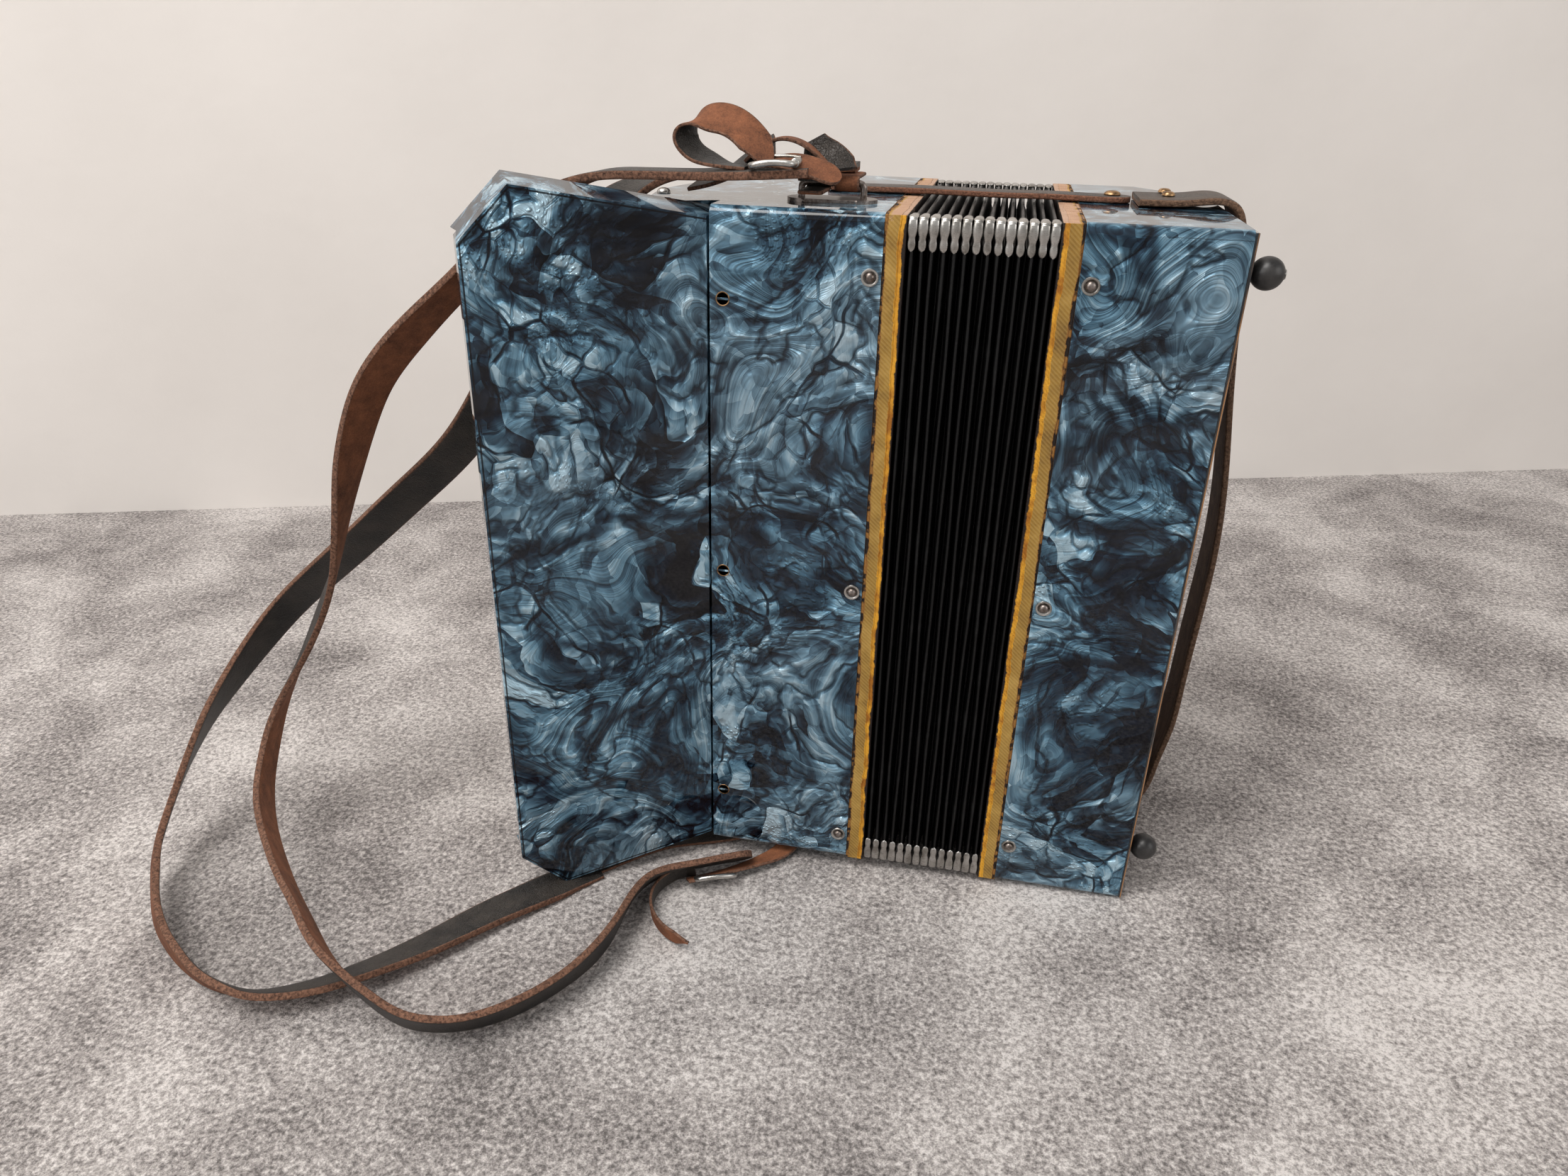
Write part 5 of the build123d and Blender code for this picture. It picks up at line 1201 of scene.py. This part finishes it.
leather_strap("strap_b_cross_billet", cross_route, 21.0, 2.2, 100, "shoulder_strap_b")
lower_flap = [((24, 17, BRACKET_TOP + 3.6), OVER), ((34, 16, BRACKET_TOP + 4.6), (0.1, 0.95, 0.3)),
              ((45, 15, BRACKET_TOP + 3.5), (0.2, 0.9, 0.4)), ((54, 15, BRACKET_TOP + 1), (0.1, 0.9, 0.45)),
              ((64, 17, BRACKET_TOP - 2.5), (0.0, 0.9, 0.45))]
leather_strap("strap_a_lower_flap", lower_flap, 17.0, 2.0, 100, "shoulder_strap_a", tip=rounded_end(44, 17))


def bracket_loop_route(x, side):
    """Round the bracket's bar and both ways back to the strap."""
    bar = np.array([x, 42.0, BRACKET_BAR - 1.8])
    angle = np.linspace(-math.pi / 2, math.pi / 2, 9)
    radius = 1.8 + 0.3 + BILLET_T / 2
    turn = [tuple(bar + [0, -side * radius * math.cos(a), radius * math.sin(a)]) for a in angle]
    far = [(x, 42 + side * reach, bar[2] - radius) for reach in (24, 16, 8)]
    back = [(x, 42 + side * reach, bar[2] + radius) for reach in (8, 16, 24)]
    return [(spot, (-side, 0, 0)) for spot in far + turn + back]


for label, x, side in (("a", 56 - 33 / 4 + 0.5, -1), ("b", 56 + 33 / 4 - 0.5, 1)):
    leather_strap(f"strap_{label}_loop", bracket_loop_route(x, side), BILLET_W, BILLET_T, 120,
                  "shoulder_strap_" + label, section=(8, 5))


# ---- buckles ------------------------------------------------------------------------------------
# Bent nickel wire with a prong each; the top one also has a roller.
def swept_wire(points, radius, count=160, sides=14, closed=False):
    """A round wire carried along a smooth path."""
    points = np.array(points, float)
    if closed:
        points = np.concatenate([points[-3:], points, points[:4]])
        count *= 2
    centre = smooth_path(points, count)
    if closed:
        way = running_length(points)
        at = np.linspace(0, way[-1], count)
        centre = centre[(at >= way[3] - 1e-9) & (at <= way[-4] + 1e-9)]
    run = unit(np.gradient(centre, axis=0))
    side = unit(np.cross(run, [0.13, 0.29, 0.95]))
    angle = np.linspace(0, 2 * math.pi, sides, endpoint=False)[:, None]
    ring = side[:, None] * np.cos(angle) + np.cross(run, side)[:, None] * np.sin(angle)
    return centre[:, None] + radius * ring


def buckle_wire(length, width, bend):
    """A rounded rectangle of wire in its own plane, bent up at its middle."""
    a, b, r = length / 2, width / 2, 3.5
    turn = np.linspace(0, math.pi / 2, 5)
    corners = []
    for cx, cy, start in ((a - r, b - r, 0), (-a + r, b - r, 1), (-a + r, -b + r, 2), (a - r, -b + r, 3)):
        angle = turn + start * math.pi / 2
        corners.append(np.stack([cx + r * np.cos(angle), cy + r * np.sin(angle)], 1))
    flat = np.concatenate(corners)
    return np.column_stack([flat, bend * (1 - (flat[:, 0] / a) ** 2)])


def top_buckle_place(points):
    """The top buckle lies on strap A behind its curl, 4 degrees up at its outer end."""
    x, y, z = np.array(points, float).T
    sin, cos = math.sin(math.radians(4)), math.cos(math.radians(4))
    return np.column_stack([31 + x * cos - z * sin, 18 + y, BRACKET_TOP + STRAP_T / 2 + 1.2 + x * sin + z * cos])


def low_buckle_place(points):
    """The lower buckle leans against strap A's billet, its far side down."""
    x, y, z = np.array(points, float).T
    turn, tilt = math.radians(22), math.radians(38)
    flat = y * math.cos(tilt) - z * math.sin(tilt)
    rise = -y * math.sin(tilt) + z * math.cos(tilt)
    return np.column_stack([10 + x * math.cos(turn) - flat * math.sin(turn),
                            -34 + x * math.sin(turn) + flat * math.cos(turn),
                            -(BASS_EDGE_X - 12) * LEAN_SLOPE + 7.6 + rise])


top_prong = top_buckle_place([(-11, 0, 1.9), (-6, 0.4, 2.9), (2, 0.6, 3.1), (8, 0.5, 2.6), (12, 0.5, 1.9)])
low_prong = low_buckle_place([(-12, 0, 1.2), (-6, 0.3, 3.0), (3, 0.4, 3.2), (12.5, 0.4, 1.6)])
ROLLER = [(1.9, 0), (2.3, 0.3), (2.35, 10), (2.3, 21.7), (1.9, 22)]
fitting("strap_buckle_wires",
        [swept_wire(top_buckle_place(buckle_wire(22, 31, 1.2)), 1.55, closed=True), swept_wire(top_prong, 1.1),
         turned(ROLLER, top_buckle_place([(11, -11, 0.3)])[0], (0, 1, 0)),
         swept_wire(low_buckle_place(buckle_wire(24, 15, 2.2)), 1.6, closed=True), swept_wire(low_prong, 1.0)],
        nickel, "treble_side", "strap_buckles", sharp=60)


# ---- keys ---------------------------------------------------------------------------------------
# Wooden sticks on one axle, tops of white and black celluloid, and bent steel arms that lift felted pallets
# behind the grille.
def key_material(name, skin, skin_from, rough):
    """A wooden stick whose upper layer and outer end are celluloid."""
    material = new_material(name, skin, rough, Coat_Weight=0.6, Coat_Roughness=0.05)
    x_mm, y_mm, _, place = axes_of(material)
    along, above = key_axes(x_mm, y_mm)
    covered = largest(step_up(above, skin_from - 0.1, skin_from + 0.1), step_up(along, 116.4, 116.6))
    streak = noise(place * (30.0, 30.0, 140.0), 8.0, 3.0)
    wood = ramp(streak, [(0.3, (0.3, 0.17, 0.08)), (0.7, (0.52, 0.33, 0.17))])
    cloud = noise(place, 24.0, 3.0)
    top = blend_colors(cloud * 0.5, skin, tuple(part * 0.72 for part in skin))
    color = blend_colors(covered, wood, top)
    return finish_shader(material, color, covered * (rough - 0.6) + 0.6, cloud, 0.0003, 0.1)


white_key = key_material("white_key_celluloid", (0.62, 0.6, 0.53), 24.0, 0.22)
black_key = key_material("black_key_celluloid", (0.006, 0.006, 0.007), 22.4, 0.2)
felt = new_material("pallet_felt", (0.09, 0.02, 0.018), 0.95, Sheen_Weight=0.25)
fluff = noise(object_place(felt), 900.0, 3.0)
color = ramp(fluff, [(0.3, (0.05, 0.01, 0.01)), (0.7, (0.16, 0.035, 0.03))])
finish_shader(felt, color, None, fluff, 0.0003, 0.6)


def key_faces(middle, normal):
    """The stick's own material, steel on the arm, felt under the pallet."""
    along = -(middle[:, 0] + 1.4) * math.cos(KEY_LEAN) - middle[:, 1] * math.sin(KEY_LEAN)
    arm = (along < -9.2) & (middle[:, 0] > -12)
    under_pallet = (middle[:, 0] > 38.5) & (middle[:, 0] < 40.1)
    return np.where(under_pallet, 2, np.where(arm, 1, 0))


for node in sorted(name for name in frame["nodes"] if name.startswith("key_") and name != "key_axle"):
    top = white_key if node.endswith("white") else black_key
    dressed(node, node + "_body", [top, steel, felt], 0.45, 2, key_faces, shortest=5.0)
dressed("key_axle", "treble_side", [steel], 0.0)


# ---- buttons and reed blocks --------------------------------------------------------------------
# Turned bass buttons on the cut corner of the bass casing, a larger air button, and the reed blocks inside.
button_white = new_material("button_casein", (0.55, 0.52, 0.45), 0.25, Coat_Weight=0.4, Coat_Roughness=0.08)
cloud = noise(object_place(button_white), 60.0, 3.0)
color = ramp(cloud, [(0.3, (0.42, 0.39, 0.32)), (0.7, (0.6, 0.57, 0.5))])
finish_shader(button_white, color, cloud * 0.15 + 0.18)
for node in ("bass_buttons_row_1", "bass_buttons_row_2", "bass_buttons_row_3", "bass_buttons_row_4", "air_button"):
    dressed(node, node + "_body", [button_white], 0.8, 3, shortest=0.3)
for node, body in (("treble_reed_blocks", "treble_side"), ("bass_reed_blocks", "bass_side")):
    dressed(node, body, [case_wood], 0.4, 1)
